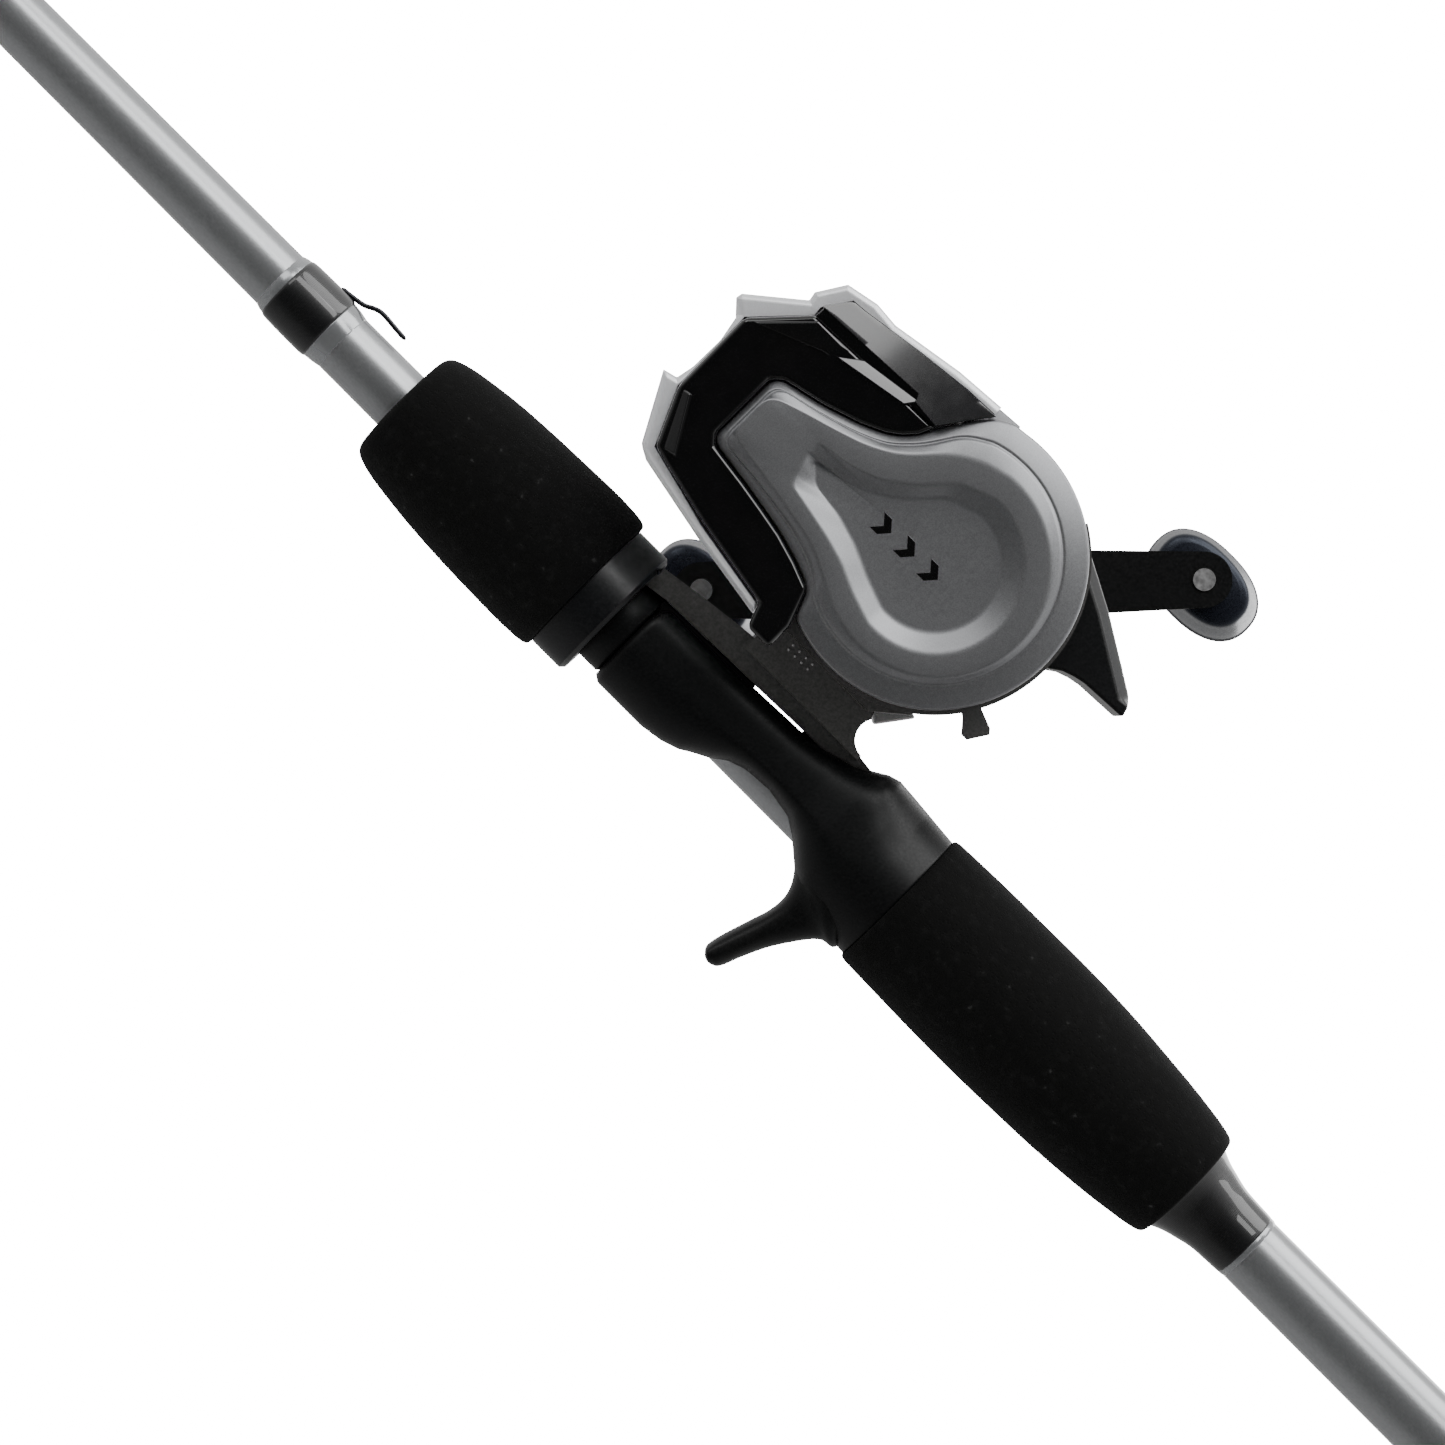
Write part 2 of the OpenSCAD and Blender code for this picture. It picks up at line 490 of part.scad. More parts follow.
module star_drag() color("#2b2c2f") at_reel()
  difference() {
    union() {
      rod_y(handle_c, 6.2, 28, 35.4);
      for (a = [18:72:306]) slab(32, 35) translate(handle_c) rotate(a)
        polygon([[4, -2.6], [13.5, -1.9], [15.4, -0.9], [15.6, 0.9], [13.7, 2.1], [4, 2.6]]);
    }
    rod_y(handle_c, drive_r + 0.05, 27, 36);
    rod_y(handle_c, 4.5, 27.9, 32.2);
  }

// ---- Handle ----
arm_y = [38, 40.8];                      // faces of the handle arm
function knob_c(side) = handle_c + side * knob_centres / 2 * arm_dir;
module handle_arm() color("#0c0c0d") at_reel()
  difference() {
    slab(arm_y[0], arm_y[1]) {
      for (s = [-1, 1]) {
        translate(knob_c(s)) circle(r = 4.7);
        translate(handle_c) rotate(arm_angle + (s > 0 ? 0 : 180))
          polygon([[0, -6], [14, -5.6], [knob_centres / 2, -4.7], [knob_centres / 2, 4.7],
            [14, 5.6], [0, 6]]);
      }
      translate(handle_c) circle(r = 7.2);
    }
    rod_y(handle_c, 2.4, 37, 42);
    for (s = [-1, 1]) rod_y(knob_c(s), 1.9, 37, 42);
  }
module handle_nut() color("#2b2c2f") at_reel() {
  rod_y(handle_c, 2.4, 37.8, 41);
  slab(41, 44) translate(handle_c) circle(r = 5.2, $fn = 6);
  rod_y(handle_c, 3.4, 44, 45);
}
module knob_rivets() color("#a0a0a0") at_reel()
  for (s = [-1, 1]) {
    rod_y(knob_c(s), 1.9, 37.6, 41);
    rod_y(knob_c(s), 1.6, 41, 61);
    rod_y(knob_c(s), 2.6, 61, 62);
  }
knob_half = [4.2, 6.9];                  // half the knob's straight length, and its end radius
// A knob's outline, drawn smaller by cut
module knob_shape(cut) {
  for (s = [-1, 1]) translate([s * knob_half[0], 0]) circle(r = knob_half[1] - cut);
  translate([-knob_half[0], cut - knob_half[1]]) square([2 * knob_half[0], 2 * (knob_half[1] - cut)]);
}
module knob(side) color("#1b1d24") at_reel() {
  c = knob_c(side);
  difference() {
    union() {
      slab(41.2, 43.4) translate(c) knob_shape(2);
      slab(43.4, 46) translate(c) knob_shape(0.8);
      slab(46, 60) translate(c) knob_shape(0);
      slab(60, 62.4) translate(c) knob_shape(0.9);
      slab(62.4, 64) translate(c) knob_shape(2.6);
    }
    rod_y(c, 1.65, 40, 61);
    rod_y(c, 2.7, 60.9, 62.1);
  }
}
module tension_cap() color("#2b2c2f") at_reel()
  difference() {
    union() {
      rod_y(spool_c, 4.95, 25.6, 27.3);
      rod_y(spool_c, 7.4, 27.3, 31);
    }
    rod_y(spool_c, 4.95, 24, 26.95);
    for (a = [0:20:340]) rod_y(spool_c + 7.8 * [cos(a), sin(a)], 0.7, 27, 32);
  }

// ---- Level wind ----
line_z = 41;                             // height of the line's way through the guide
rail_r = 1;
idler_pin_r = 1.2;
worm_r = 2.1;
worm_neck_r = 1.2;
module worm_shaft() color("silver") at_reel() {
  rod_y(worm_c, worm_r, -plate_out, plate_out);
  rod_y(worm_c, worm_neck_r, -17, -plate_out);
  difference() {
    gear(worm_c, 28, wind_module, 0, wind_y[0], wind_y[1]);
    rod_y(worm_c, worm_neck_r, -17, -14);
  }
}
module idler_gear() color("#e8e6df") at_reel()
  difference() {
    gear(idler_c, 26, wind_module, 180 / 26, wind_y[0], wind_y[1]);
    rod_y(idler_c, idler_pin_r + 0.05, -17, -14);
  }
module guide_rail() color("silver") at_reel() {
  rod_y(rail_c, rail_r, -plate_out, plate_out);
  rod_y(idler_c, idler_pin_r, wind_y[0], -12);
}
module line_guide() color("#1f2023") at_reel()
  difference() {
    union() {
      rod_y(worm_c, 3.5, -3, 3);
      rod_y(rail_c, 2.3, -3, 3);
      slab(-3, 3) polygon([[-33.6, 37], [-32, 45.4], [-37, 46], [-40.6, 44.4], [-40.6, 37.4], [-37, 34.6]]);
    }
    rod_y(worm_c, worm_r + 0.05, -4, 4);
    rod_y(rail_c, rail_r + 0.05, -4, 4);
    rod_x(-42, -33.6, 2.5, line_z);
    rod_x(-34, -20, 1.2, line_z);
  }
module line_guide_ring() color("#d8d8d8") at_reel()
  translate([-39, 0, line_z]) rotate([0, 90, 0]) rotate_extrude($fn = 96)
    translate([1.5, -1.8]) square([1, 3.6]);

// ---- Thumb bar ----
bar_half = 11.3;
module thumb_bar() color("#18191b") at_reel() {
  slab(-bar_half, bar_half) polygon([[20.6, 61.6], [31.3, 56.2], [43, 49], [44, 47.8], [44.6, 45.7],
    [36.6, 45.3], [34.6, 44.9], [32.6, 44.2], [30.4, 42.7], [28.6, 44.5], [26, 52], [20, 58.6]]);
  slab(-bar_half, bar_half) polygon([[14.2, 58.4], [20, 58.6], [20.6, 61.6], [15.4, 61.4]]);
}
yoke_y = [21.6, 22.8];                   // faces of the clutch yoke
module clutch_yoke() color("#d9d2b8") at_reel()
  difference() {
    slab(yoke_y[0], yoke_y[1]) {
      translate(spool_c) circle(r = 4);
      polygon([[-10.4, 43.4], [-2.6, 43.4], [-2.6, 57], [-10.4, 57]]);
    }
    rod_y(spool_c, 1.85, 20, 24);
    slab(21, 24) translate([spool_c[0] - 1.85, 30]) square([3.7, 13.4]);
  }

blank();
butt_cap();
butt_grip();
butt_wrap();
rear_grip();
rear_grip_wrap();
reel_seat();
moving_hood();
lock_nut();
fore_grip();
hook_keeper();
hook_keeper_wrap();
guide_wraps();
guide_frame(0);  // guide_frame_1
guide_frame(1);  // guide_frame_2
guide_frame(2);  // guide_frame_3
guide_frame(3);  // guide_frame_4
guide_frame(4);  // guide_frame_5
guide_frame(5);  // guide_frame_6
guide_ring(0);  // guide_ring_1
guide_ring(1);  // guide_ring_2
guide_ring(2);  // guide_ring_3
guide_ring(3);  // guide_ring_4
guide_ring(4);  // guide_ring_5
guide_ring(5);  // guide_ring_6
tip_top();
tip_ring();
reel_frame();
palm_plate();
palm_cover();
brake_ring();
magnet_carrier();
brake_magnets();
front_hood();
handle_side_plate();
handle_side_trim();
spool();
spool_shaft();
spool_bearings();
pinion();
main_gear();
drive_shaft();
drive_bearings();
drag_washers();
star_drag();
drag_nut();
handle_arm();
handle_nut();
knob_rivets();
knob(1);  // knob_1
knob(-1);  // knob_2
tension_cap();
worm_shaft();
idler_gear();
guide_rail();
line_guide();
line_guide_ring();
thumb_bar();
clutch_yoke();
screws();
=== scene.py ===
import json
import math

import bmesh
import bpy
from mathutils import Matrix, Vector


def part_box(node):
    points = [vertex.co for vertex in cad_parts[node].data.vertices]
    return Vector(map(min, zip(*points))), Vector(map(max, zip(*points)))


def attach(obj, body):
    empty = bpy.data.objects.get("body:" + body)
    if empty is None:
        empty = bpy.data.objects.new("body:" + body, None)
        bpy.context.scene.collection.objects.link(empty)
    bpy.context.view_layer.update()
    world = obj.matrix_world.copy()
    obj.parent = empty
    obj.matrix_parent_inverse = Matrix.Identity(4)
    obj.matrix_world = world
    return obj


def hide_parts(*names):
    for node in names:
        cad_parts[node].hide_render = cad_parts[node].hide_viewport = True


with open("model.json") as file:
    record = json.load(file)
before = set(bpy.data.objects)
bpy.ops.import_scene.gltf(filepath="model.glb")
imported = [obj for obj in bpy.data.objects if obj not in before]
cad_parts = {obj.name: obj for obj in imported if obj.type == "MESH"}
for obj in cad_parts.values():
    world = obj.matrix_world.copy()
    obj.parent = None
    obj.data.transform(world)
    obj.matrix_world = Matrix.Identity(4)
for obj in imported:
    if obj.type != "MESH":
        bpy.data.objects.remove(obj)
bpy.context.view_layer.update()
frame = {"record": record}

MM = 0.001
ROOT = "rod_and_reel"

# ---------------- places from the frame
REAR_GRIP_START = 40                                # mm from the reel station to the rear grip
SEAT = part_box("rear_grip")[0][0] - REAR_GRIP_START * MM     # x of the reel station, in metres


def joint(name):
    return next(j for j in frame["record"]["behaviour"]["joints"] if j["name"] == name)


def local(p):
    """A point in metres as millimetres about the reel station."""
    return Vector(((p[0] - SEAT) / MM, p[1] / MM, p[2] / MM))


PALM_C = local(joint("brake_turn")["pos_m"])
HANDLE_C = local(joint("handle_turn")["pos_m"])

# ---------------- camera
CAM_DISTANCE = 1.1
VIEW_WIDTH = 0.2331
SENSOR = 36.0
cam_data = bpy.data.cameras.new("camera")
cam_data.sensor_width = SENSOR
cam_data.lens = SENSOR * CAM_DISTANCE / VIEW_WIDTH
cam_data.clip_start = 0.05
cam = bpy.data.objects.new("camera", cam_data)
bpy.context.collection.objects.link(cam)
r2 = math.sqrt(0.5)
# right, up and back axes: the rod runs from upper left to lower right
cam.matrix_world = Matrix(((r2, -r2, 0, SEAT), (0, 0, -1, -CAM_DISTANCE), (r2, r2, 0, 0), (0, 0, 0, 1)))
bpy.context.scene.camera = cam


# ---------------- materials
def new_material(name, color, rough, metallic=0.0, **sockets):
    m = bpy.data.materials.new(name)
    m.use_nodes = True
    p = m.node_tree.nodes["Principled BSDF"]
    p.inputs["Base Color"].default_value = (*color, 1)
    p.inputs["Roughness"].default_value = rough
    p.inputs["Metallic"].default_value = metallic
    for key, value in sockets.items():
        p.inputs[key.replace("_", " ")].default_value = value
    return m


def node(m, kind, **props):
    n = m.node_tree.nodes.new(kind)
    for key, value in props.items():
        setattr(n, key, value)
    return n


def link(m, a, out, b, inp):
    m.node_tree.links.new(a.outputs[out], b.inputs[inp])


def coords(m, scale=(1, 1, 1)):
    t = node(m, "ShaderNodeTexCoord")
    mp = node(m, "ShaderNodeMapping")
    mp.inputs["Scale"].default_value = scale
    link(m, t, "Object", mp, "Vector")
    return mp


def noise(m, vec, scale, detail=4.0, rough=0.6):
    n = node(m, "ShaderNodeTexNoise")
    n.inputs["Scale"].default_value = scale
    n.inputs["Detail"].default_value = detail
    n.inputs["Roughness"].default_value = rough
    link(m, vec, "Vector", n, "Vector")
    return n


def ramp(m, source, out, stops):
    r = node(m, "ShaderNodeValToRGB")
    e = r.color_ramp.elements
    while len(e) < len(stops):
        e.new(0.5)
    for el, (pos, col) in zip(e, stops):
        el.position = pos
        el.color = (*col, 1) if len(col) == 3 else (col[0], col[0], col[0], 1)
    link(m, source, out, r, "Fac")
    return r


def bump(m, source, out, strength, distance):
    b = node(m, "ShaderNodeBump")
    b.inputs["Strength"].default_value = strength
    b.inputs["Distance"].default_value = distance
    link(m, source, out, b, "Height")
    link(m, b, "Normal", m.node_tree.nodes["Principled BSDF"], "Normal")


def vary(m, scale, lo, hi, rough=None, vec_scale=(1, 1, 1), detail=4.0):
    """Base colour, and roughness if given, vary gently between two values with noise."""
    p = m.node_tree.nodes["Principled BSDF"]
    n = noise(m, coords(m, vec_scale), scale, detail)
    link(m, ramp(m, n, "Fac", [(0.35, lo), (0.65, hi)]), "Color", p, "Base Color")
    if rough:
        link(m, ramp(m, n, "Fac", [(0.35, (rough[0],)), (0.65, (rough[1],))]), "Color", p, "Roughness")
    return n


def painted_silver(name, lo, hi, rough, metallic=0.85, sparkle=0.06):
    """Satin metallic paint: fine flake in the colour and a slight orange peel."""
    m = new_material(name, hi, rough, metallic)
    n = vary(m, 5200, lo, hi, (rough - 0.04, rough + 0.06))
    bump(m, n, "Fac", sparkle, 0.00004)
    return m


def blank_paint():
    m = new_material("blank_paint", (0.42, 0.43, 0.44), 0.3, 0.8, Coat_Weight=0.5, Coat_Roughness=0.12)
    n = vary(m, 4200, (0.40, 0.41, 0.42), (0.44, 0.45, 0.46), (0.29, 0.33), (0.5, 1, 1), 2)
    bump(m, n, "Fac", 0.008, 0.00002)
    return m


def foam():
    m = new_material("eva_foam", (0.012, 0.012, 0.012), 0.85, Sheen_Weight=0.02, Sheen_Roughness=0.5,
                     Specular_IOR_Level=0.12)
    p = m.node_tree.nodes["Principled BSDF"]
    base = noise(m, coords(m), 1800, 6, 0.75)
    pores = node(m, "ShaderNodeTexVoronoi")
    pores.inputs["Scale"].default_value = 1500
    link(m, coords(m), "Vector", pores, "Vector")
    pits = ramp(m, pores, "Distance", [(0.0, (0,)), (0.35, (1,))])
    specks = noise(m, coords(m), 620, 2, 0.5)
    dust = ramp(m, specks, "Fac", [(0.0, (0.0022, 0.0022, 0.0022)), (0.55, (0.0034, 0.0034, 0.0034)),
                                   (0.72, (0.006, 0.006, 0.006)), (0.79, (0.03, 0.03, 0.03))])
    link(m, dust, "Color", p, "Base Color")
    mix = node(m, "ShaderNodeMath", operation="ADD")
    link(m, base, "Fac", mix, 0)
    link(m, pits, "Color", mix, 1)
    bump(m, mix, "Value", 0.45, 0.00025)
    return m


def satin_black(name, color=(0.012, 0.0125, 0.0135), rough=0.42, grain=2400, spec=0.5):
    m = new_material(name, color, rough, Specular_IOR_Level=spec)
    lo = tuple(c * 0.8 for c in color)
    hi = tuple(c * 1.25 for c in color)
    n = vary(m, grain, lo, hi, (rough - 0.05, rough + 0.07))
    bump(m, n, "Fac", 0.10, 0.00006)
    return m


def gloss_black(name="piano_black", rough=0.04, base=0.0016):
    m = new_material(name, (base, base, base * 1.1), rough, Coat_Weight=1.0, Coat_Roughness=rough / 2)
    n = vary(m, 260, (base * 0.8, base * 0.8, base * 0.9), (base * 1.4, base * 1.4, base * 1.5),
             (rough, rough + 0.04))
    bump(m, n, "Fac", 0.01, 0.00004)
    return m


def thread_wrap():
    """Black thread laid side by side round the blank, under clear epoxy."""
    m = new_material("thread_wrap", (0.004, 0.004, 0.0045), 0.35, Coat_Weight=1.0, Coat_Roughness=0.03)
    w = node(m, "ShaderNodeTexWave", wave_type="BANDS", bands_direction="X")
    w.inputs["Scale"].default_value = 1100
    w.inputs["Distortion"].default_value = 0.3
    w.inputs["Detail"].default_value = 1.0
    link(m, coords(m), "Vector", w, "Vector")
    p = m.node_tree.nodes["Principled BSDF"]
    shade = ramp(m, w, "Fac", [(0.1, (0.0015, 0.0015, 0.002)), (0.9, (0.008, 0.008, 0.009))])
    link(m, shade, "Color", p, "Base Color")
    bump(m, w, "Fac", 0.25, 0.00006)
    return m


def epoxy():
    """Clear epoxy on silver: the paint seen through a glossier, wetter skin."""
    m = new_material("clear_epoxy", (0.36, 0.37, 0.38), 0.24, 0.7, Coat_Weight=1.0, Coat_Roughness=0.03)
    n = vary(m, 300, (0.34, 0.35, 0.36), (0.38, 0.39, 0.40))
    bump(m, n, "Fac", 0.01, 0.00002)
    return m


def metal(name, color, rough, grain=(1, 1, 1), scale=900):
    m = new_material(name, color, rough, 1.0)
    lo = tuple(c * 0.86 for c in color)
    hi = tuple(min(1, c * 1.1) for c in color)
    n = vary(m, scale, lo, hi, (rough - 0.05, rough + 0.08), grain)
    bump(m, n, "Fac", 0.05, 0.00003)
    return m


def carbon():
    m = new_material("drag_carbon", (0.03, 0.03, 0.03), 0.45)
    c = node(m, "ShaderNodeTexChecker")
    c.inputs["Scale"].default_value = 900
    c.inputs["Color1"].default_value = (0.02, 0.02, 0.02, 1)
    c.inputs["Color2"].default_value = (0.06, 0.06, 0.06, 1)
    link(m, coords(m), "Vector", c, "Vector")
    link(m, c, "Color", m.node_tree.nodes["Principled BSDF"], "Base Color")
    return m


MAT = {
    "blank": blank_paint(),
    "foam": foam(),
    "rubber": satin_black("butt_rubber", (0.013, 0.013, 0.013), 0.7, 1200),
    "seat": satin_black("seat_satin", (0.0032, 0.0033, 0.0036), 0.42, spec=0.34),
    "hood_black": satin_black("moving_hood_satin", (0.0045, 0.005, 0.006), 0.36),
    "inner": satin_black("inner_plastic", (0.02, 0.02, 0.021), 0.5),
    "frame": satin_black("frame_charcoal", (0.06, 0.0585, 0.057), 0.44),
    "thread": thread_wrap(),
    "epoxy": epoxy(),
    "wire": metal("dark_wire", (0.045, 0.046, 0.05), 0.3),
    "ceramic": gloss_black("ceramic_ring", 0.1),
    "palm": painted_silver("gunmetal_paint", (0.265, 0.268, 0.278), (0.345, 0.35, 0.361), 0.38),
    "cover": gloss_black(),
    # the cover's upper band and its bar facet: a rougher black lifted well above the cover's own, as
    # painted sheen standing in for reflected sky
    "visor": gloss_black("visor_black_painted_sheen", 0.2, 0.011),
    "cowl": painted_silver("light_silver_paint", (0.86, 0.87, 0.89), (0.92, 0.93, 0.95), 0.36, 0.45),
    # the lug of the handle side plate: near white and not metallic, far lighter than the plate's own
    # silver, as painted light where the studio leaves it in shade
    "lug": painted_silver("lug_silver_painted_light", (0.85, 0.85, 0.85), (0.9, 0.9, 0.9), 0.5, 0.0),
    "side": painted_silver("side_silver_paint", (0.33, 0.335, 0.345), (0.42, 0.425, 0.435), 0.35),
    "spool": metal("spool_aluminium", (0.66, 0.67, 0.69), 0.22, (1, 14, 1)),
    "steel": metal("ground_steel", (0.55, 0.55, 0.56), 0.28),
    "brass": metal("brass", (0.62, 0.44, 0.17), 0.3),
    "nylon": satin_black("nylon", (0.62, 0.6, 0.52), 0.5),
    "carbon": carbon(),
    "arm": satin_black("arm_black", (0.002, 0.002, 0.0022), 0.33),
    "rivet": metal("cast_rivet", (0.5, 0.5, 0.5), 0.42),
    "star": metal("anodised_dark", (0.05, 0.051, 0.055), 0.34),
    "knob": satin_black("knob_gloss", (0.008, 0.009, 0.014), 0.3),
    "knob_rim": satin_black("knob_rim", (0.10, 0.102, 0.11), 0.4),
    "thumb": satin_black("thumb_bar_satin", (0.004, 0.0042, 0.0048), 0.36),
    "magnet": metal("magnet_plate", (0.7, 0.7, 0.7), 0.15),
    "dot": satin_black("light_dot", (0.3, 0.3, 0.3), 0.5),
}
knob_shader = MAT["knob"].node_tree.nodes["Principled BSDF"]
knob_shader.inputs["Specular Tint"].default_value = (0.75, 0.83, 1, 1)

NODE_MATERIAL = {
    "blank": "blank", "butt_cap": "rubber", "butt_grip": "foam", "butt_wrap": "thread",
    "rear_grip": "foam", "rear_grip_wrap": "thread", "reel_seat": "seat",
    "moving_hood": "hood_black", "lock_nut": "inner",
    "fore_grip": "foam", "hook_keeper": "wire", "hook_keeper_wrap": "thread", "guide_wraps": "thread",
    "tip_top": "wire", "tip_ring": "ceramic", "reel_frame": "frame", "palm_plate": "palm",
    "palm_cover": "cover", "brake_ring": "frame", "magnet_carrier": "inner", "brake_magnets": "magnet",
    "front_hood": "cowl", "handle_side_plate": "side", "handle_side_trim": "cover", "spool": "spool",
    "spool_shaft": "steel", "spool_bearings": "steel", "pinion": "brass", "main_gear": "brass",
    "drive_shaft": "steel", "drive_bearings": "steel", "drag_washers": "carbon", "star_drag": "star",
    "drag_nut": "brass", "handle_arm": "arm", "handle_nut": "star", "knob_rivets": "rivet",
    "knob_1": "knob", "knob_2": "knob", "tension_cap": "star", "worm_shaft": "steel",
    "idler_gear": "nylon", "guide_rail": "steel", "line_guide": "inner", "line_guide_ring": "ceramic",
    "thumb_bar": "thumb", "clutch_yoke": "nylon", "screws": "steel",
}
for i in range(1, 7):
    NODE_MATERIAL[f"guide_frame_{i}"] = "wire"
    NODE_MATERIAL[f"guide_ring_{i}"] = "ceramic"
# machined edges: nodes whose sharp edges get a small round, in mm
NODE_BEVEL = {
    "handle_arm": 0.45, "handle_nut": 0.3, "star_drag": 0.35, "tension_cap": 0.25, "reel_frame": 0.35,
    "moving_hood": 0.5, "line_guide": 0.3, "handle_side_trim": 0.2, "spool": 0.15, "brake_ring": 0.25,
    "butt_cap": 1.2, "screws": 0.1, "drag_nut": 0.15, "clutch_yoke": 0.15, "knob_rivets": 0.3,
}


def soften(o, width, segments=3, angle=32):
    """Round an object's edges by a width in mm."""
    b = o.modifiers.new("edge_round", "BEVEL")
    b.width = width * MM
    b.segments = segments
    b.limit_method = "ANGLE"
    b.angle_limit = math.radians(angle)
    b.harden_normals = False
    return b


def even_shading(o):
    """Let the large faces set the shading, so that flats next to a round edge stay flat."""
    o.modifiers.new("even_shading", "WEIGHTED_NORMAL").keep_sharp = True


for name, key in NODE_MATERIAL.items():
    o = bpy.data.objects[name]
    o.data.materials.clear()
    o.data.materials.append(MAT[key])
    if name in NODE_BEVEL:
        soften(o, NODE_BEVEL[name])


# ---------------- mesh helpers (mm about the station)
def to_world(p):
    return (SEAT + p[0] * MM, p[1] * MM, p[2] * MM)


def mesh_object(name, verts, faces, material):
    """A smooth-shaded object from vertices in mm, welded and with its faces turned outward."""
    me = bpy.data.meshes.new(name)
    me.from_pydata([to_world(v) for v in verts], [], faces)
    bm = bmesh.new()
    bm.from_mesh(me)
    bmesh.ops.remove_doubles(bm, verts=bm.verts, dist=1e-6)
    bmesh.ops.recalc_face_normals(bm, faces=bm.faces)
    bm.to_mesh(me)
    bm.free()
    me.validate()
    me.polygons.foreach_set("use_smooth", [True] * len(me.polygons))
    me.materials.append(MAT[material])
    o = bpy.data.objects.new(name, me)
    bpy.context.collection.objects.link(o)
    return o


def loft(rings, closed_ends=True, wrap=False):
    """Faces over rings of equal length. wrap joins the last ring to the first."""
    n = len(rings[0])
    verts = [v for r in rings for v in r]
    faces = []
    pairs = [(i, i + 1) for i in range(len(rings) - 1)] + ([(len(rings) - 1, 0)] if wrap else [])
    for a, b in pairs:
        for j in range(n):
            k = (j + 1) % n
            faces.append((a * n + j, a * n + k, b * n + k, b * n + j))
    if closed_ends and not wrap:
        faces.append(tuple(range(n - 1, -1, -1)))
        faces.append(tuple((len(rings) - 1) * n + j for j in range(n)))
    return verts, faces


def smooth_line(points, per=6):
    """Catmull-Rom through the points."""
    out = []
    pts = [points[0]] + list(points) + [points[-1]]
    for i in range(1, len(pts) - 2):
        p0, p1, p2, p3 = (Vector(p) for p in pts[i - 1:i + 3])
        for s in range(per):
            t = s / per
            out.append(0.5 * ((2 * p1) + (p2 - p0) * t + (2 * p0 - 5 * p1 + 4 * p2 - p3) * t * t
                              + (3 * p1 - p0 - 3 * p2 + p3) * t ** 3))
    out.append(Vector(points[-1]))
    return out


def smooth_profile(profile, per):
    """A smooth curve through (x, r) points."""
    return [(p.x, p.y) for p in smooth_line([(x, r, 0) for x, r in profile], per)]


def round_corners(points, radius, steps=4, closed=False):
    """A polyline with each corner turned into a short curve."""
    pts = [Vector(p) for p in points]
    n = len(pts)
    out = []
    for i, p in enumerate(pts):
        if not closed and i in (0, n - 1):
            out.append(p)
            continue
        a, b = pts[i - 1], pts[(i + 1) % n]
        d = min(radius, (a - p).length * 0.45, (b - p).length * 0.45)
        s = p + (a - p).normalized() * d
        e = p + (b - p).normalized() * d
        for k in range(steps + 1):
            t = k / steps
            out.append(s * (1 - t) ** 2 + p * 2 * t * (1 - t) + e * t * t)
    return out


def blunt(value, power):
    """A sine or cosine raised to a power with its sign kept: squares off a round section."""
    return math.copysign(abs(value) ** power, value)


def turn(count):
    """Angles of a full turn in equal steps."""
    return [2 * math.pi * j / count for j in range(count)]


def lathe(name, profile, material, seg=128, wrap=False):
    """Profile of (x, r) turned about the rod's axis."""
    rings = [[(x, r * math.sin(w), r * math.cos(w)) for w in turn(seg)] for x, r in profile]
    v, f = loft(rings, wrap=wrap)
    return mesh_object(name, v, f, material)


def closed_faces(n):
    """Faces of a closed body between two outlines of n points."""
    sides = [(i, n + i, n + (i + 1) % n, (i + 1) % n) for i in range(n)]
    return [tuple(range(n)), tuple(range(2 * n - 1, n - 1, -1))] + sides


def prism(name, outline, y0, y1, material, bevel=0.5, segments=4):
    """An outline in (x, z) between two depths, its edges rounded by a bevel."""
    verts = [(p[0], y, p[1]) for y in (y0, y1) for p in outline]
    o = mesh_object(name, verts, closed_faces(len(outline)), material)
    if bevel:
        soften(o, bevel, segments, 20)
    even_shading(o)
    return o


def place(o, body, *nodes, slot):
    """Fix a piece to its body, in place of the CAD nodes named. The slot argument is not used."""
    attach(o, body)
    if nodes:
        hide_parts(*nodes)


# ---------------- rod
BUTT_LEN = 75
BUTT_END = (0 - SEAT) / MM           # x of the butt end about the station
BUTT_FRONT = BUTT_END - BUTT_LEN     # x of the butt grip's front end
BLANK_TIP = (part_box("blank")[0][0] - SEAT) / MM - 3      # the rod's tip, 3 mm past the blank's end
BLANK_TIP_R, BLANK_BUTT_R = 0.95, 6.39
EPOXY_SINK = 0.04                    # how far an epoxy taper's thin end dives into the blank
EPOXY_BULGE = 0.08                   # how far its middle stands out
CORE_DEPTH = 0.05                    # how far a wrap's inner face lies under the blank's skin


def blank_r(x):
    """Radius of the tapered blank."""
    return BLANK_TIP_R + (x - BLANK_TIP) * (BLANK_BUTT_R - BLANK_TIP_R) / (BUTT_END - BLANK_TIP)


def grip(name, profile, bore, node_name, body):
    """A foam grip: a closed turned body with soft ends and a faint unevenness in its skin."""
    ring = smooth_profile(profile, 7)
    ring = [(ring[0][0], bore)] + ring + [(ring[-1][0], bore)]
    rings = []
    for x, r in ring:
        row = []
        for a in turn(160):
            wobble = 0.035 * math.sin(3 * a + x * 0.11) + 0.03 * math.sin(5 * a - x * 0.23)
            rr = r + (wobble if r > bore + 1 else 0)
            row.append((x, rr * math.sin(a), rr * math.cos(a)))
        rings.append(row)
    v, f = loft(rings, wrap=True)
    o = mesh_object(name, v, f, "foam")
    place(o, body, node_name, slot="foam")


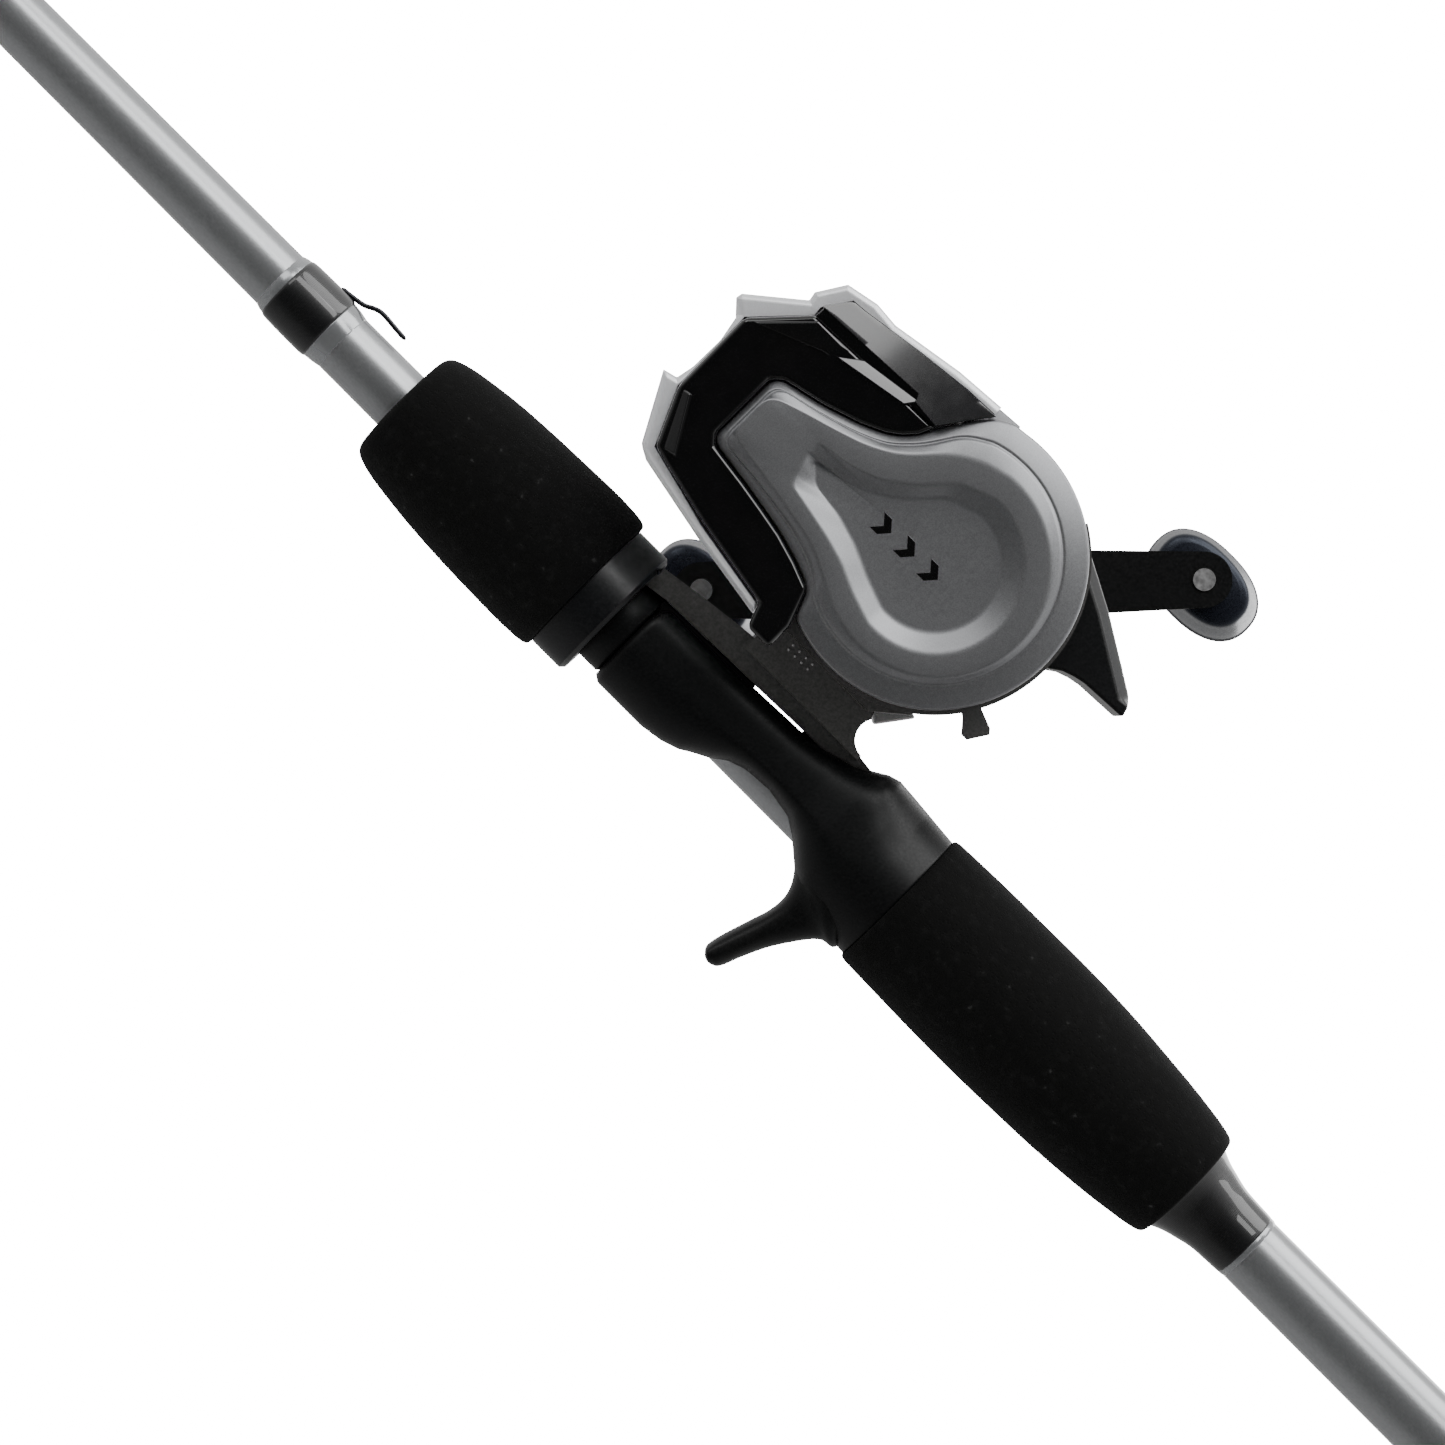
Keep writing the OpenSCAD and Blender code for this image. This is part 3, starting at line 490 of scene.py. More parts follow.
FORE_PROFILE = [(-72.9, 8.2), (-72.9, 9.4), (-72.3, 10.45), (-70.9, 11.25), (-67.6, 12.1), (-61, 13.0),
                (-54.7, 13.5), (-48, 13.8), (-38.6, 14.03), (-35.3, 13.97), (-32.8, 13.8),
                (-31.6, 13.45), (-31.2, 12.9), (-31.2, 12.0)]
REAR_PROFILE = [(40, 12.0), (40.05, 12.75), (40.6, 13.15), (42.4, 13.3), (52, 13.56), (60, 13.66),
                (68, 13.67), (76, 13.5), (84, 13.13), (94, 12.3), (100, 11.57), (103, 11.1),
                (105, 10.6), (105.75, 10.0), (105.8, 8.9)]
BUTT_PROFILE = [(BUTT_FRONT, 9.0), (BUTT_FRONT + 0.3, 10.2), (BUTT_FRONT + 3, 11.5),
                (BUTT_FRONT + 12, 12.7), (BUTT_FRONT + 25, 13.42), (BUTT_END - 30, 13.5),
                (BUTT_END - 11, 13.5), (BUTT_END - 10.1, 13.2), (BUTT_END - 10, 12.0)]
grip("fore_grip_foam", FORE_PROFILE, 5.75, "fore_grip", "lock_nut")
grip("rear_grip_foam", REAR_PROFILE, 6.2, "rear_grip", ROOT)
grip("butt_grip_foam", BUTT_PROFILE, 6.3, "butt_grip", ROOT)


def wrap(name, thread, coat, node_name):
    """Thread under epoxy: a black body and, at its ends, clear tapers on the blank."""
    core = blank_r(thread[0][0]) - CORE_DEPTH
    line = smooth_profile(thread, 6)
    o = lathe(name, [(line[0][0], core)] + line + [(line[-1][0], core)], "thread", wrap=True)
    place(o, ROOT, node_name, slot="wrap")
    for k, (a, b) in enumerate(coat):
        middle = ((a[0] + b[0]) / 2, (a[1] + b[1]) / 2 + EPOXY_BULGE)
        line = smooth_profile([a, middle, b], 6)
        c = lathe(f"{name}_epoxy_{k + 1}", [(line[0][0], core)] + line + [(line[-1][0], core)], "epoxy",
                  wrap=True)
        place(c, ROOT, slot="wrap")


def taper(start, end):
    """The two ends of an epoxy taper, from a point of the thread down into the blank."""
    return (start, (end, blank_r(end) - EPOXY_SINK))


KEEPER_THREAD = [(-99.3, 5.75), (-98.6, 6.0), (-96, 6.1), (-92, 6.12), (-90.2, 6.05), (-89.6, 5.8)]
KEEPER_TAPERS = [taper((-99.3, 5.75), -101), taper((-89.6, 5.8), -86.5)]
wrap("hook_keeper_thread", KEEPER_THREAD, KEEPER_TAPERS, "hook_keeper_wrap")
REAR_THREAD = [(105.82, 8.75), (106.6, 8.35), (108.2, 7.7), (110, 7.2), (113, 6.5), (116, 6.27),
               (118.6, 6.15), (119.2, 6.03)]
wrap("rear_taper_wrap", REAR_THREAD, [taper((119.2, 6.05), 120.2)], "rear_grip_wrap")
BUTT_WRAP_FRONT = BUTT_FRONT - 14
BUTT_THREAD = [(BUTT_FRONT - 13.6, blank_r(BUTT_WRAP_FRONT) + 0.2), (BUTT_FRONT - 12, 6.9),
               (BUTT_FRONT - 8, 7.2), (BUTT_FRONT - 4, 7.8), (BUTT_FRONT - 0.02, 8.6)]
BUTT_TAPER = taper((BUTT_FRONT - 13.6, blank_r(BUTT_WRAP_FRONT) + 0.15), BUTT_WRAP_FRONT)
wrap("butt_thread_wrap", BUTT_THREAD, [BUTT_TAPER], "butt_wrap")


def tube_along(name, points, radius, material, seg=16):
    """A round wire through the points, with rounded ends."""
    line = [Vector(p) for p in points]
    rings = []
    count = len(line)
    for i, p in enumerate(line):
        d = (line[min(i + 1, count - 1)] - line[max(i - 1, 0)]).normalized()
        side = d.cross(Vector((0, 1, 0))).normalized()
        up = side.cross(d).normalized()
        ends = {0: 0.35, 1: 0.85, count - 1: 0.35, count - 2: 0.85}
        rr = radius * ends.get(i, 1.0)
        rings.append([p + rr * (math.cos(w) * side + math.sin(w) * up) for w in turn(seg)])
    v, f = loft(rings)
    return mesh_object(name, v, f, material)


KEEPER_LINE = smooth_line([(-93, 0, 6.1), (-90.5, 0, 6.35), (-88.4, 0, 6.75), (-87.2, 0, 7.35),
                           (-86, 0, 7.8), (-84.4, 0, 7.85), (-82.2, 0, 7.65), (-79.8, 0, 7.5)], 5)
place(tube_along("hook_keeper_wire", KEEPER_LINE, 0.42, "wire"), ROOT, "hook_keeper",
      slot="dark_wire")


def ring_insert(name, wall):
    """A ceramic ring in its guide: flat sides and a rounded, polished bore."""
    lo, hi = (local(p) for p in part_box(name))
    c, h, outer = (lo + hi) / 2, (hi.x - lo.x) / 2, (hi.y - lo.y) / 2
    bore = outer - wall
    profile = [(-h, outer - 0.12), (0.1 - h, outer), (h - 0.1, outer), (h, outer - 0.12),
               (h, bore + 0.34), (0.82 * h, bore + 0.14), (0.45 * h, bore + 0.03), (0, bore),
               (-0.45 * h, bore + 0.03), (-0.82 * h, bore + 0.14), (-h, bore + 0.34)]
    o = lathe(f"{name}_insert", profile, "ceramic", 72, wrap=True)
    o.data.transform(Matrix.Translation(c * MM))
    place(o, ROOT, name, slot="ceramic")


for number in range(1, 7):
    ring_insert(f"guide_ring_{number}", 1.1)
ring_insert("tip_ring", 1.0)

GUIDE_LEAN = 0.85            # reach of a guide's leg along the rod for each mm of its height
BACK_LEG = 0.7               # share of that reach for the second leg of a double-footed guide
DOUBLE_GUIDES = 2            # guides from the butt on that have two feet
WRAP_NEAR, WRAP_FAR = 1.8, 16        # a wrap's ends, mm from the end of the leg


def guide_wrap_spans():
    """Ends of the wraps over the guides' feet: one ahead of each guide, one behind each double one."""
    spans = []
    for number in range(1, 7):
        lo, hi = (local(p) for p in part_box(f"guide_ring_{number}"))
        x, reach = (lo.x + hi.x) / 2, GUIDE_LEAN * (lo.z + hi.z) / 2
        spans.append((x - reach - WRAP_FAR, x - reach - WRAP_NEAR))
        if number <= DOUBLE_GUIDES:
            spans.append((x + BACK_LEG * reach + WRAP_NEAR, x + BACK_LEG * reach + WRAP_FAR))
    return spans


def guide_wrap(name, x0, x1):
    """Thread over a guide's foot, with ends that round down to the blank."""
    steps = [(x0, 0.2), (x0 + 0.35, 0.82), (x0 + 1.3, 1.2), (x0 + 3, 1.27), (x1 - 3, 1.27),
             (x1 - 1.3, 1.2), (x1 - 0.35, 0.82), (x1, 0.2)]
    skin = smooth_profile([(x, blank_r(x) + grow) for x, grow in steps], 5)
    profile = [(x0, blank_r(x0) - CORE_DEPTH)] + skin + [(x1, blank_r(x1) - CORE_DEPTH)]
    return lathe(name, profile, "thread", wrap=True)


for number, (x0, x1) in enumerate(guide_wrap_spans(), 1):
    stands_for = ["guide_wraps"] if number == 1 else []
    place(guide_wrap(f"guide_wrap_{number}", x0, x1), ROOT, *stands_for, slot="wrap")

# ---------------- reel seat
SEAT_TOP = [(-20, 4.9), (-19.3, 6.2), (-18.4, 6.9), (-10, 7.05), (0, 7.55), (6, 7.8), (10, 7.95),
            (15, 8.8), (20, 10.2), (22.5, 11.5), (25, 13.0), (27, 13.6), (30, 13.4), (40, 12.5)]
SEAT_LOW = [(-20, 8.9), (-18.9, 9.7), (-9, 9.7), (-5, 9.1), (-2, 8.1), (0, 6.9), (2.5, 5.6), (5, 4.0),
            (8, 3.0), (13, 2.6), (18, 3.5), (21, 5.2), (23, 6.9), (25, 8.6), (27, 10.2), (30, 11.5),
            (34, 12.3), (40, 12.55)]
SEAT_HALF = [(-20, 8.9), (-19.2, 9.6), (-10, 9.9), (0, 10.0), (10, 10.1), (18, 10.9), (24, 12.0),
             (30, 12.5), (40, 12.5)]


def along(table, x):
    """Value at x on straight lines through the table's points."""
    if x <= table[0][0]:
        return table[0][1]
    for (x0, v0), (x1, v1) in zip(table, table[1:]):
        if x <= x1:
            return v0 + (v1 - v0) * (x - x0) / (x1 - x0)
    return table[-1][1]


SEAT_FRONT, SEAT_LENGTH = -20, 60
SHELF_HALF = 5.4             # half width of the two pads that the reel's foot lies on
SHELF_POWER = 4.2            # squareness of the seat's upper half under the foot; 2 is an ellipse
BELLY_POWER = 0.92           # squareness of its lower half; 1 is an ellipse
ROUND_START, ROUND_LENGTH = 26, 8    # where its section turns into a plain ellipse for the grip


def seat_body():
    """Rounded sections along the rod: flat shelf under the foot, hood at the back, open belly."""
    rings = []
    for x in [SEAT_FRONT + SEAT_LENGTH * i / 120 for i in range(121)]:
        top, low, half = along(SEAT_TOP, x), along(SEAT_LOW, x), along(SEAT_HALF, x)
        flat = SHELF_POWER if x < 20 else max(2.0, SHELF_POWER - (x - 20) * 0.12)
        row = []
        for a in turn(96):
            c, s = math.cos(a), math.sin(a)
            power = 2 / flat if c > 0 else BELLY_POWER
            y = half * blunt(s, power)
            z = top * abs(c) ** power if c > 0 else -max(low, 0.5) * abs(c) ** BELLY_POWER
            if x > ROUND_START:
                k = min(1, (x - ROUND_START) / ROUND_LENGTH)
                z = z * (1 - k) + k * (top if c > 0 else low) * c
                y = y * (1 - k) + k * half * s
            row.append((x, y, z))
        rings.append(row)
    v, f = loft(rings)
    return mesh_object("reel_seat_body", v, f, "seat")


place(seat_body(), ROOT, "reel_seat", slot="seat_plastic")
PADS = [[(-20.4, 4.5), (-20.4, 7.45), (-0.4, 7.96), (-0.4, 4.5)],
        [(10.2, 5), (10.2, 8.26), (20, 8.26), (20, 5)]]
for number, pad in enumerate(PADS, 1):
    place(prism(f"seat_shelf_{number}", pad, -SHELF_HALF, SHELF_HALF, "seat", 0.15, 2), ROOT,
          slot="seat_plastic")

TRIGGER_FRONT = [(20.5, -4.2), (22.4, -6.2), (24.5, -8.1), (26.2, -10.5), (26.95, -13), (26.7, -16),
                 (25.7, -19.2), (24.3, -23.6), (23.65, -26.2), (23.7, -27.6), (24.6, -28.7)]
TRIGGER_BACK = [(38, -8), (38.5, -12.7), (36, -13.6), (34, -15.7), (31, -20.2), (28.9, -24.6),
                (27.9, -27.2), (27.2, -28.4), (26.3, -28.9), (25.8, -29.0), (25.4, -29.0)]
TRIGGER_HALF = 5.4           # half width of the trigger where it starts
TRIGGER_NARROWING = 1.1      # taken off the half width toward its tip
TRIGGER_FLARE = 4.6          # added to the half width at its root
TRIGGER_ROUND = 0.85         # share of its length after which the tip rounds off
TRIGGER_SQUARENESS = 0.8


def trigger():
    """Blunt oval sections between the trigger's front line and its back line."""
    front = smooth_line([(x, 0, z) for x, z in TRIGGER_FRONT], 6)
    back = smooth_line([(x, 0, z) for x, z in TRIGGER_BACK], 6)
    rings = []
    for i, (a, b) in enumerate(zip(front, back)):
        t = i / (len(front) - 1)
        narrowing = TRIGGER_NARROWING * math.sin(min(1, t * 1.6) * math.pi / 2)
        half = TRIGGER_HALF - narrowing + TRIGGER_FLARE * max(0, 1 - t / 0.42) ** 2
        if t > TRIGGER_ROUND:
            half *= math.sqrt(max(0.05, 1 - ((t - TRIGGER_ROUND) / 0.155) ** 2))
        mid, hx = (a + b) / 2, (b - a) / 2
        ring = []
        for w in turn(40):
            p = mid + hx * blunt(math.cos(w), TRIGGER_SQUARENESS)
            ring.append((p.x, half * blunt(math.sin(w), TRIGGER_SQUARENESS), p.z))
        rings.append(ring)
    v, f = loft(rings)
    return mesh_object("seat_trigger", v, f, "seat")


place(trigger(), ROOT, slot="seat_plastic")

BARREL_START = -62.0
THREAD_END = -27
THREAD_PITCH = 1.5
THREAD_ROOT, THREAD_CREST = 8.25, 8.58


def barrel():
    """The threaded barrel ahead of the seat, its thread as a row of ridges."""
    profile = [(BARREL_START, blank_r(BARREL_START))]
    x = BARREL_START
    while x < THREAD_END:
        profile += [(x, THREAD_ROOT), (x + 0.35, THREAD_CREST), (x + 0.75, THREAD_CREST),
                    (x + 1.1, THREAD_ROOT)]
        x += THREAD_PITCH
    profile += [(-26.2, 8.5), (-20.5, 8.5), (-20.1, 8.1), (-20.0, blank_r(-20))]
    return lathe("seat_barrel_thread", profile, "seat", 96, wrap=True)


place(barrel(), ROOT, slot="seat_plastic")


# ---------------- palm plate: a keyhole with stepped bevels
PC = Vector((PALM_C.x, PALM_C.z))


def ray_radius(outline, angle, centre):
    """Distance from a centre to a closed outline, in a direction."""
    d = Vector((math.cos(angle), math.sin(angle)))
    best = 0
    for a, b in zip(outline, outline[1:] + outline[:1]):
        ax, az = a[0] - centre.x, a[1] - centre.y
        ex, ez = b[0] - centre.x - ax, b[1] - centre.y - az
        det = d.x * ez - d.y * ex
        if abs(det) < 1e-9:
            continue
        t = (ax * ez - az * ex) / det
        u = (ax * d.y - az * d.x) / det
        if -1e-6 <= u <= 1 + 1e-6 and t > best:
            best = t
    return best


def arc_points(c, r, a0, a1, n):
    """Points on an arc between two angles in degrees."""
    return [(c[0] + r * math.cos(math.radians(a0 + (a1 - a0) * i / n)),
             c[1] + r * math.sin(math.radians(a0 + (a1 - a0) * i / n))) for i in range(n + 1)]


def flat_outline(points, radius, steps=5):
    """A closed outline in (x, z) with its corners rounded."""
    return [(p.x, p.y) for p in round_corners([(x, z, 0) for x, z in points], radius, steps,
                                              closed=True)]


def shell(name, columns, centre, top, inner_depths, inner_scale, material):
    """A cover made of columns of points from its rim to its middle, closed there and lined inside."""
    n = len(columns)
    rings = [[col[i] for col in columns] for i in range(len(columns[0]))]
    verts, faces = loft(rings, closed_ends=False)
    base = (len(rings) - 1) * n
    verts.append((centre.x, top, centre.y))
    faces += [(base + j, base + (j + 1) % n, len(verts) - 1) for j in range(n)]
    off = len(verts)
    for y in inner_depths:
        verts += [(centre.x + (x - centre.x) * inner_scale, y, centre.y + (z - centre.y) * inner_scale)
                  for x, _, z in rings[0]]
    faces += [(j, off + j, off + (j + 1) % n, (j + 1) % n) for j in range(n)]
    faces += [(off + j, off + n + j, off + n + (j + 1) % n, off + (j + 1) % n) for j in range(n)]
    verts.append((centre.x, inner_depths[1], centre.y))
    faces += [(off + n + (j + 1) % n, off + n + j, len(verts) - 1) for j in range(n)]
    return mesh_object(name, verts, faces, material)


def keyhole(centre, radius, start, end, steps, neck, corner):
    """A round end, given by its arc, joined to the points of a neck or a nose."""
    return flat_outline(arc_points(centre, radius, start, end, steps) + neck, corner)


PLATE_R = 24.14              # radius of the palm plate's round end
COVER_BACK = -17.05          # inner edge of the palm side's covers
COVER_FACE = -25.5           # foot of the facets on the gloss cover
PLATE_INNER = -24.5          # inner face of the palm plate behind its recess
FLOOR_DEPTH = 25.5           # middle of the recess
DOME_WALL = 1.8              # thickness of the handle side's cover
PLATE_LINING, DOME_LINING = 0.94, 0.93       # size of each cover's hollow against its rim
# outline, bevel foot, land edge, recess lip and recess floor, each as a keyhole
K_OUT = keyhole(PC, PLATE_R, -112, 100, 48, [
    (-0.5, 65.9), (-3.4, 64.4), (-6.8, 60), (-8.8, 56.6), (-10.2, 53.9), (-12, 51.9),
    (-14.2, 50.35), (-18, 48.6), (-24.4, 46.5), (-32.6, 44.6), (-32.8, 30.5), (-24.4, 29.3),
    (-19.5, 28.5), (-14.6, 27.6), (-9.8, 26.2), (-5.5, 24.5)], 1.9)
K_STEP = keyhole((5.3, 42.2), 20.8, -118, 108, 48, [
    (-5.2, 59.6), (-9.2, 53.6), (-13.2, 49.6), (-18, 47.4), (-24.4, 45.4), (-32.1, 43.6),
    (-32.1, 31.2), (-24.4, 30.5), (-14.6, 29), (-9, 27.2), (-6.2, 25.6)], 2.2)
K_LAND = keyhole((6.5, 41.6), 17.85, -100, 95, 40, [
    (0, 58.1), (-4.9, 55.1), (-9.8, 50.0), (-14.6, 47.1), (-19.5, 45.4), (-24.4, 43.9),
    (-31.5, 41.7), (-31.5, 33.2), (-24.4, 32.4), (-14.6, 30.6), (-9.8, 29.6), (-4.9, 27.3),
    (0, 24.8)], 2.6)
K_LIP = keyhole((6.3, 41.3), 14.0, -95, 92, 36, [
    (0, 53.1), (-4.9, 47.8), (-9.8, 44.4), (-14.6, 42.8), (-20.9, 41.8), (-20.4, 39.2),
    (-19.2, 34.3), (-9.8, 32.5), (-4.9, 31.2), (0, 29.0)], 1.2)
K_FLOOR = keyhole((5.9, 41.2), 10.8, -95, 92, 32, [
    (0, 50.2), (-4.9, 44.9), (-9.8, 41.6), (-14.6, 40.1), (-18.4, 39.9), (-18.9, 39.2),
    (-16.1, 36.7), (-9.8, 36.0), (-4.9, 34.5), (0, 32.2)], 1.2)
# the plate's section from rim to floor: an outline, its depth and how far it is drawn in
K_LEVELS = [(K_OUT, 17.05, 0.0), (K_OUT, 24.6, 0.0), (K_STEP, 25.75, 0.3), (K_STEP, 25.7, 0.75),
            (K_STEP, 26.15, 1.1), (K_LAND, 26.95, 0.0), (K_LIP, 26.95, 0.0), (K_FLOOR, 25.55, 0.0)]


def palm_plate():
    """Columns from the plate's rim to its middle, set closer where they meet the neck's end."""
    angles = []
    a = -180.0
    while a < 180:
        angles.append(math.radians(a))
        near_neck = abs(abs(a) - 180) < 28
        a += 0.35 if near_neck else 0.9
    columns = []
    for a in angles:
        pts = [Vector((ray_radius(k, a, PC) - cut, y)) for k, y, cut in K_LEVELS]
        pts.append(Vector((pts[-1].x * 0.5, FLOOR_DEPTH)))
        line = round_corners([Vector((p.x, p.y, 0)) for p in pts], 0.55, 4)
        columns.append([(PC.x + p.x * math.cos(a), -p.y, PC.y + p.x * math.sin(a)) for p in line])
    inner = (COVER_BACK, PLATE_INNER)
    return shell("palm_plate_relief", columns, PC, -FLOOR_DEPTH, inner, PLATE_LINING, "palm")


place(palm_plate(), ROOT, "palm_plate", slot="plate_silver")

# three plain chevrons stand in the recess in place of lettering
for k in range(3):
    cx = -5.5 + 5.2 * k
    bar = [(cx, 38.2), (cx + 1.7, 38.2), (cx + 3.2, 39.9), (cx + 1.7, 41.6), (cx, 41.6),
           (cx + 1.5, 39.9)]
    place(prism(f"palm_mark_{k + 1}", bar, -25.58, -25.3, "cover", 0.08, 2), ROOT, slot="cover_black")

# ---------------- gloss palm cover
COVER_OUTLINE = [(-42.7, 47.6), (-42.5, 32.7), (-38.3, 23.4), (-35.2, 22.6), (-24.4, 20.1),
                 (-9.2, 17.4), (-9.0, 16.4), (-7.9, 13.5), (-3.2, 13.5), (-3.2, 18.1), (-5.35, 24.4),
                 (-9.8, 26.05), (-14.6, 27.45), (-19.5, 28.35), (-24.4, 29.15), (-31.6, 30.1),
                 (-32.95, 31.6), (-32.95, 43.5), (-31.4, 45.05), (-24.4, 46.65), (-18, 48.75),
                 (-14.2, 50.5), (-12, 52.1), (-10.3, 54), (-9.1, 56.6), (-35.1, 55.8)]
VISOR_LOWER = [(-35.2, 57.5), (-14.4, 58.5), (-14.3, 57.2), (-9.3, 56.75), (-6.95, 60.1), (-3.6, 64.5)]
VISOR_UPPER = [(-35.2, 57.7), (-32.4, 61.55), (-29.8, 61.75), (-19.5, 63.35), (-9.8, 64.4),
               (-3.6, 64.6)]
GROOVE_BED = [(-35.0, 55.3), (-9.4, 56.2), (-9.2, 57.0), (-14.2, 58.8), (-34.9, 57.8)]
place(prism("palm_cover_groove", GROOVE_BED, -24.7, -17.1, "cover", 0.2, 2), ROOT, slot="cover_black")
place(prism("palm_cover_main", COVER_OUTLINE, -25.6, COVER_BACK, "cover", 0.9, 4), ROOT, "palm_cover",
      slot="cover_black")

VISOR_TILT = (0.36, 0.17)    # lean of the visor's face at its front end and at its back end
VISOR_HINGE = 58             # height at which the leaning face has the same depth all along
VISOR_DEPTH = 26.2           # that depth
VISOR_STEPS = 48


def visor():
    """The cover's upper band: it leans to the sky at its front end and stands upright at its back."""
    x0, x1 = VISOR_LOWER[0][0], VISOR_LOWER[-1][0]
    rings = []
    for i in range(VISOR_STEPS + 1):
        t = i / VISOR_STEPS
        x = x0 + (x1 - x0) * t
        low, high = along(VISOR_LOWER, x), along(VISOR_UPPER, x)
        tilt = VISOR_TILT[0] + (VISOR_TILT[1] - VISOR_TILT[0]) * t
        front = [low + (high - low) * k / 6 for k in range(7)]
        face = [(x, tilt * (z - VISOR_HINGE) - VISOR_DEPTH, z) for z in front]
        rings.append(face + [(x, COVER_BACK, high), (x, COVER_BACK, low)])
    v, f = loft(rings)
    o = mesh_object("palm_cover_visor", v, f, "visor")
    soften(o, 0.3, 3, 30)
    even_shading(o)
    return o


place(visor(), ROOT, slot="cover_black")


def facet(name, material, foot, crown):
    """A raised facet: an outline on the cover's face lofted to its crown."""
    low = [(x, COVER_FACE, z) for x, z in foot]
    o = mesh_object(name, low + crown, closed_faces(len(foot)), material)
    soften(o, 0.18, 3, 12)
    even_shading(o)
    place(o, ROOT, slot="cover_black")


# facets that catch the light: name, material, outline at the foot and corners of the crown
FACETS = [
    ("cover_facet_upper", "cover", [(-34.2, 55.5), (-26.5, 55.6), (-28.6, 52.9), (-41.6, 47.9)],
     [(-33.9, -25.7, 55.2), (-28.6, -25.7, 55.2), (-30.2, -26.0, 52.6), (-40.7, -26.0, 48.3)]),
    ("cover_facet_bar", "visor", [(-24.6, 56.2), (-13.6, 57.7), (-15.2, 55.6), (-28.2, 53.4)],
     [(-24.4, -25.65, 56.1), (-14.0, -25.65, 57.6), (-15.3, -26.4, 55.7), (-27.9, -26.5, 53.5)]),
    ("cover_facet_lower", "cover", [(-41.6, 33.0), (-39.8, 33.2), (-34.6, 24.2), (-37.2, 23.9)],
     [(-41.3, -25.7, 32.7), (-40.3, -26.5, 32.9), (-35.3, -26.5, 24.6), (-36.9, -25.7, 24.2)])]
for name, material, foot, crown in FACETS:
    facet(name, material, foot, crown)


# ---------------- front hood
def boolean_cut(target, cutter):
    """Take the cutter out of the target and leave a plain mesh."""
    m = target.modifiers.new("cut", "BOOLEAN")
    m.operation = "DIFFERENCE"
    m.solver = "EXACT"
    m.object = cutter
    dg = bpy.context.evaluated_depsgraph_get()
    me = bpy.data.meshes.new_from_object(target.evaluated_get(dg))
    target.modifiers.clear()
    old = target.data
    target.data = me
    bpy.data.meshes.remove(old)
    bpy.data.objects.remove(cutter)


HOOD_HALF = 23.4             # half width of the hood
HOOD_INSIDE = 21.6           # half width of its hollow
HOOD_ROUND = 1.9             # rounding along its two side edges
CROSS_EDGE = 0.15            # share of that rounding on the edges running across
HOOD_OUTLINE = [(-46.0, 49.0), (-45.8, 50.1), (-37.5, 56.9), (-37.8, 58.4), (-34.9, 63.0),
                (-29.4, 64.1), (-25, 63.75), (-12.7, 65.75), (0.3, 66.7), (0.3, 62.2), (-9, 62),
                (-9, 18.4), (-9.2, 16.2), (-24.5, 18.6), (-39.5, 21.6), (-40.3, 22.2), (-46.1, 32.9),
                (-43.7, 33.5), (-43.1, 36.5), (-43.0, 42.5), (-43.9, 47.3)]
HOOD_HOLLOW = [(-35.4, 56.6), (-33.6, 60), (-30, 62), (-20, 63), (5, 64.2), (5, 19.4), (-24, 20.6),
               (-37.2, 23.6), (-42, 33), (-41.2, 40), (-42, 48)]
SIDE_HOLE = [(-42.85, 47.75), (-42.65, 32.65), (-38.4, 23.2), (-35.2, 22.4), (-24.4, 19.6),
             (-9.3, 17.0), (-2, 17.0), (-2, 64.9), (-9.8, 64.6), (-19.5, 63.5), (-29.8, 61.95),
             (-32.5, 61.75), (-35.4, 57.3), (-35.25, 55.8)]
WINDOW = [(-50, 34), (-38, 34), (-38, 47.3), (-50, 47.3)]      # the line's way out
SPOOL_SLOT = [(-22, 57), (-22, 70), (5, 70), (5, 57)]          # open top over the spool
REAR_NOTCH = [(-4, 60), (-4, 70), (1, 70), (1, 60)]            # makes room for the palm plate


def carve(target, outline, y0, y1, material):
    """Cut an outline out of the target between two depths."""
    boolean_cut(target, prism("cut", outline, y0, y1, material, 0))


def front_hood():
    """A hollow cowl over the level wind, rounded along its two side edges."""
    hood = prism("front_hood_shell", HOOD_OUTLINE, -HOOD_HALF, HOOD_HALF, "cowl", 0)
    rounding = hood.data.attributes.new("bevel_weight_edge", "FLOAT", "EDGE")
    for edge in hood.data.edges:
        a, b = (hood.data.vertices[k].co.y for k in edge.vertices)
        rounding.data[edge.index].value = 1.0 if abs(a - b) < MM else CROSS_EDGE
    soften(hood, HOOD_ROUND, 5).limit_method = "WEIGHT"
    carve(hood, HOOD_HOLLOW, -HOOD_INSIDE, HOOD_INSIDE, "cowl")
    carve(hood, SIDE_HOLE, -30, -17.0, "cowl")
    carve(hood, REAR_NOTCH, -30, -17.0, "cowl")
    carve(hood, WINDOW, -12.6, 12.6, "cowl")
    carve(hood, SPOOL_SLOT, -12.4, 12.4, "cowl")
    carve(hood, SIDE_HOLE, 14.4, 30, "cowl")
    soften(hood, 0.35, 3, 28)
    even_shading(hood)
    return hood


place(front_hood(), ROOT, "front_hood", slot="hood_silver")

# ---------------- handle side
HANDLE_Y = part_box("handle_side_plate")[1][1] / MM


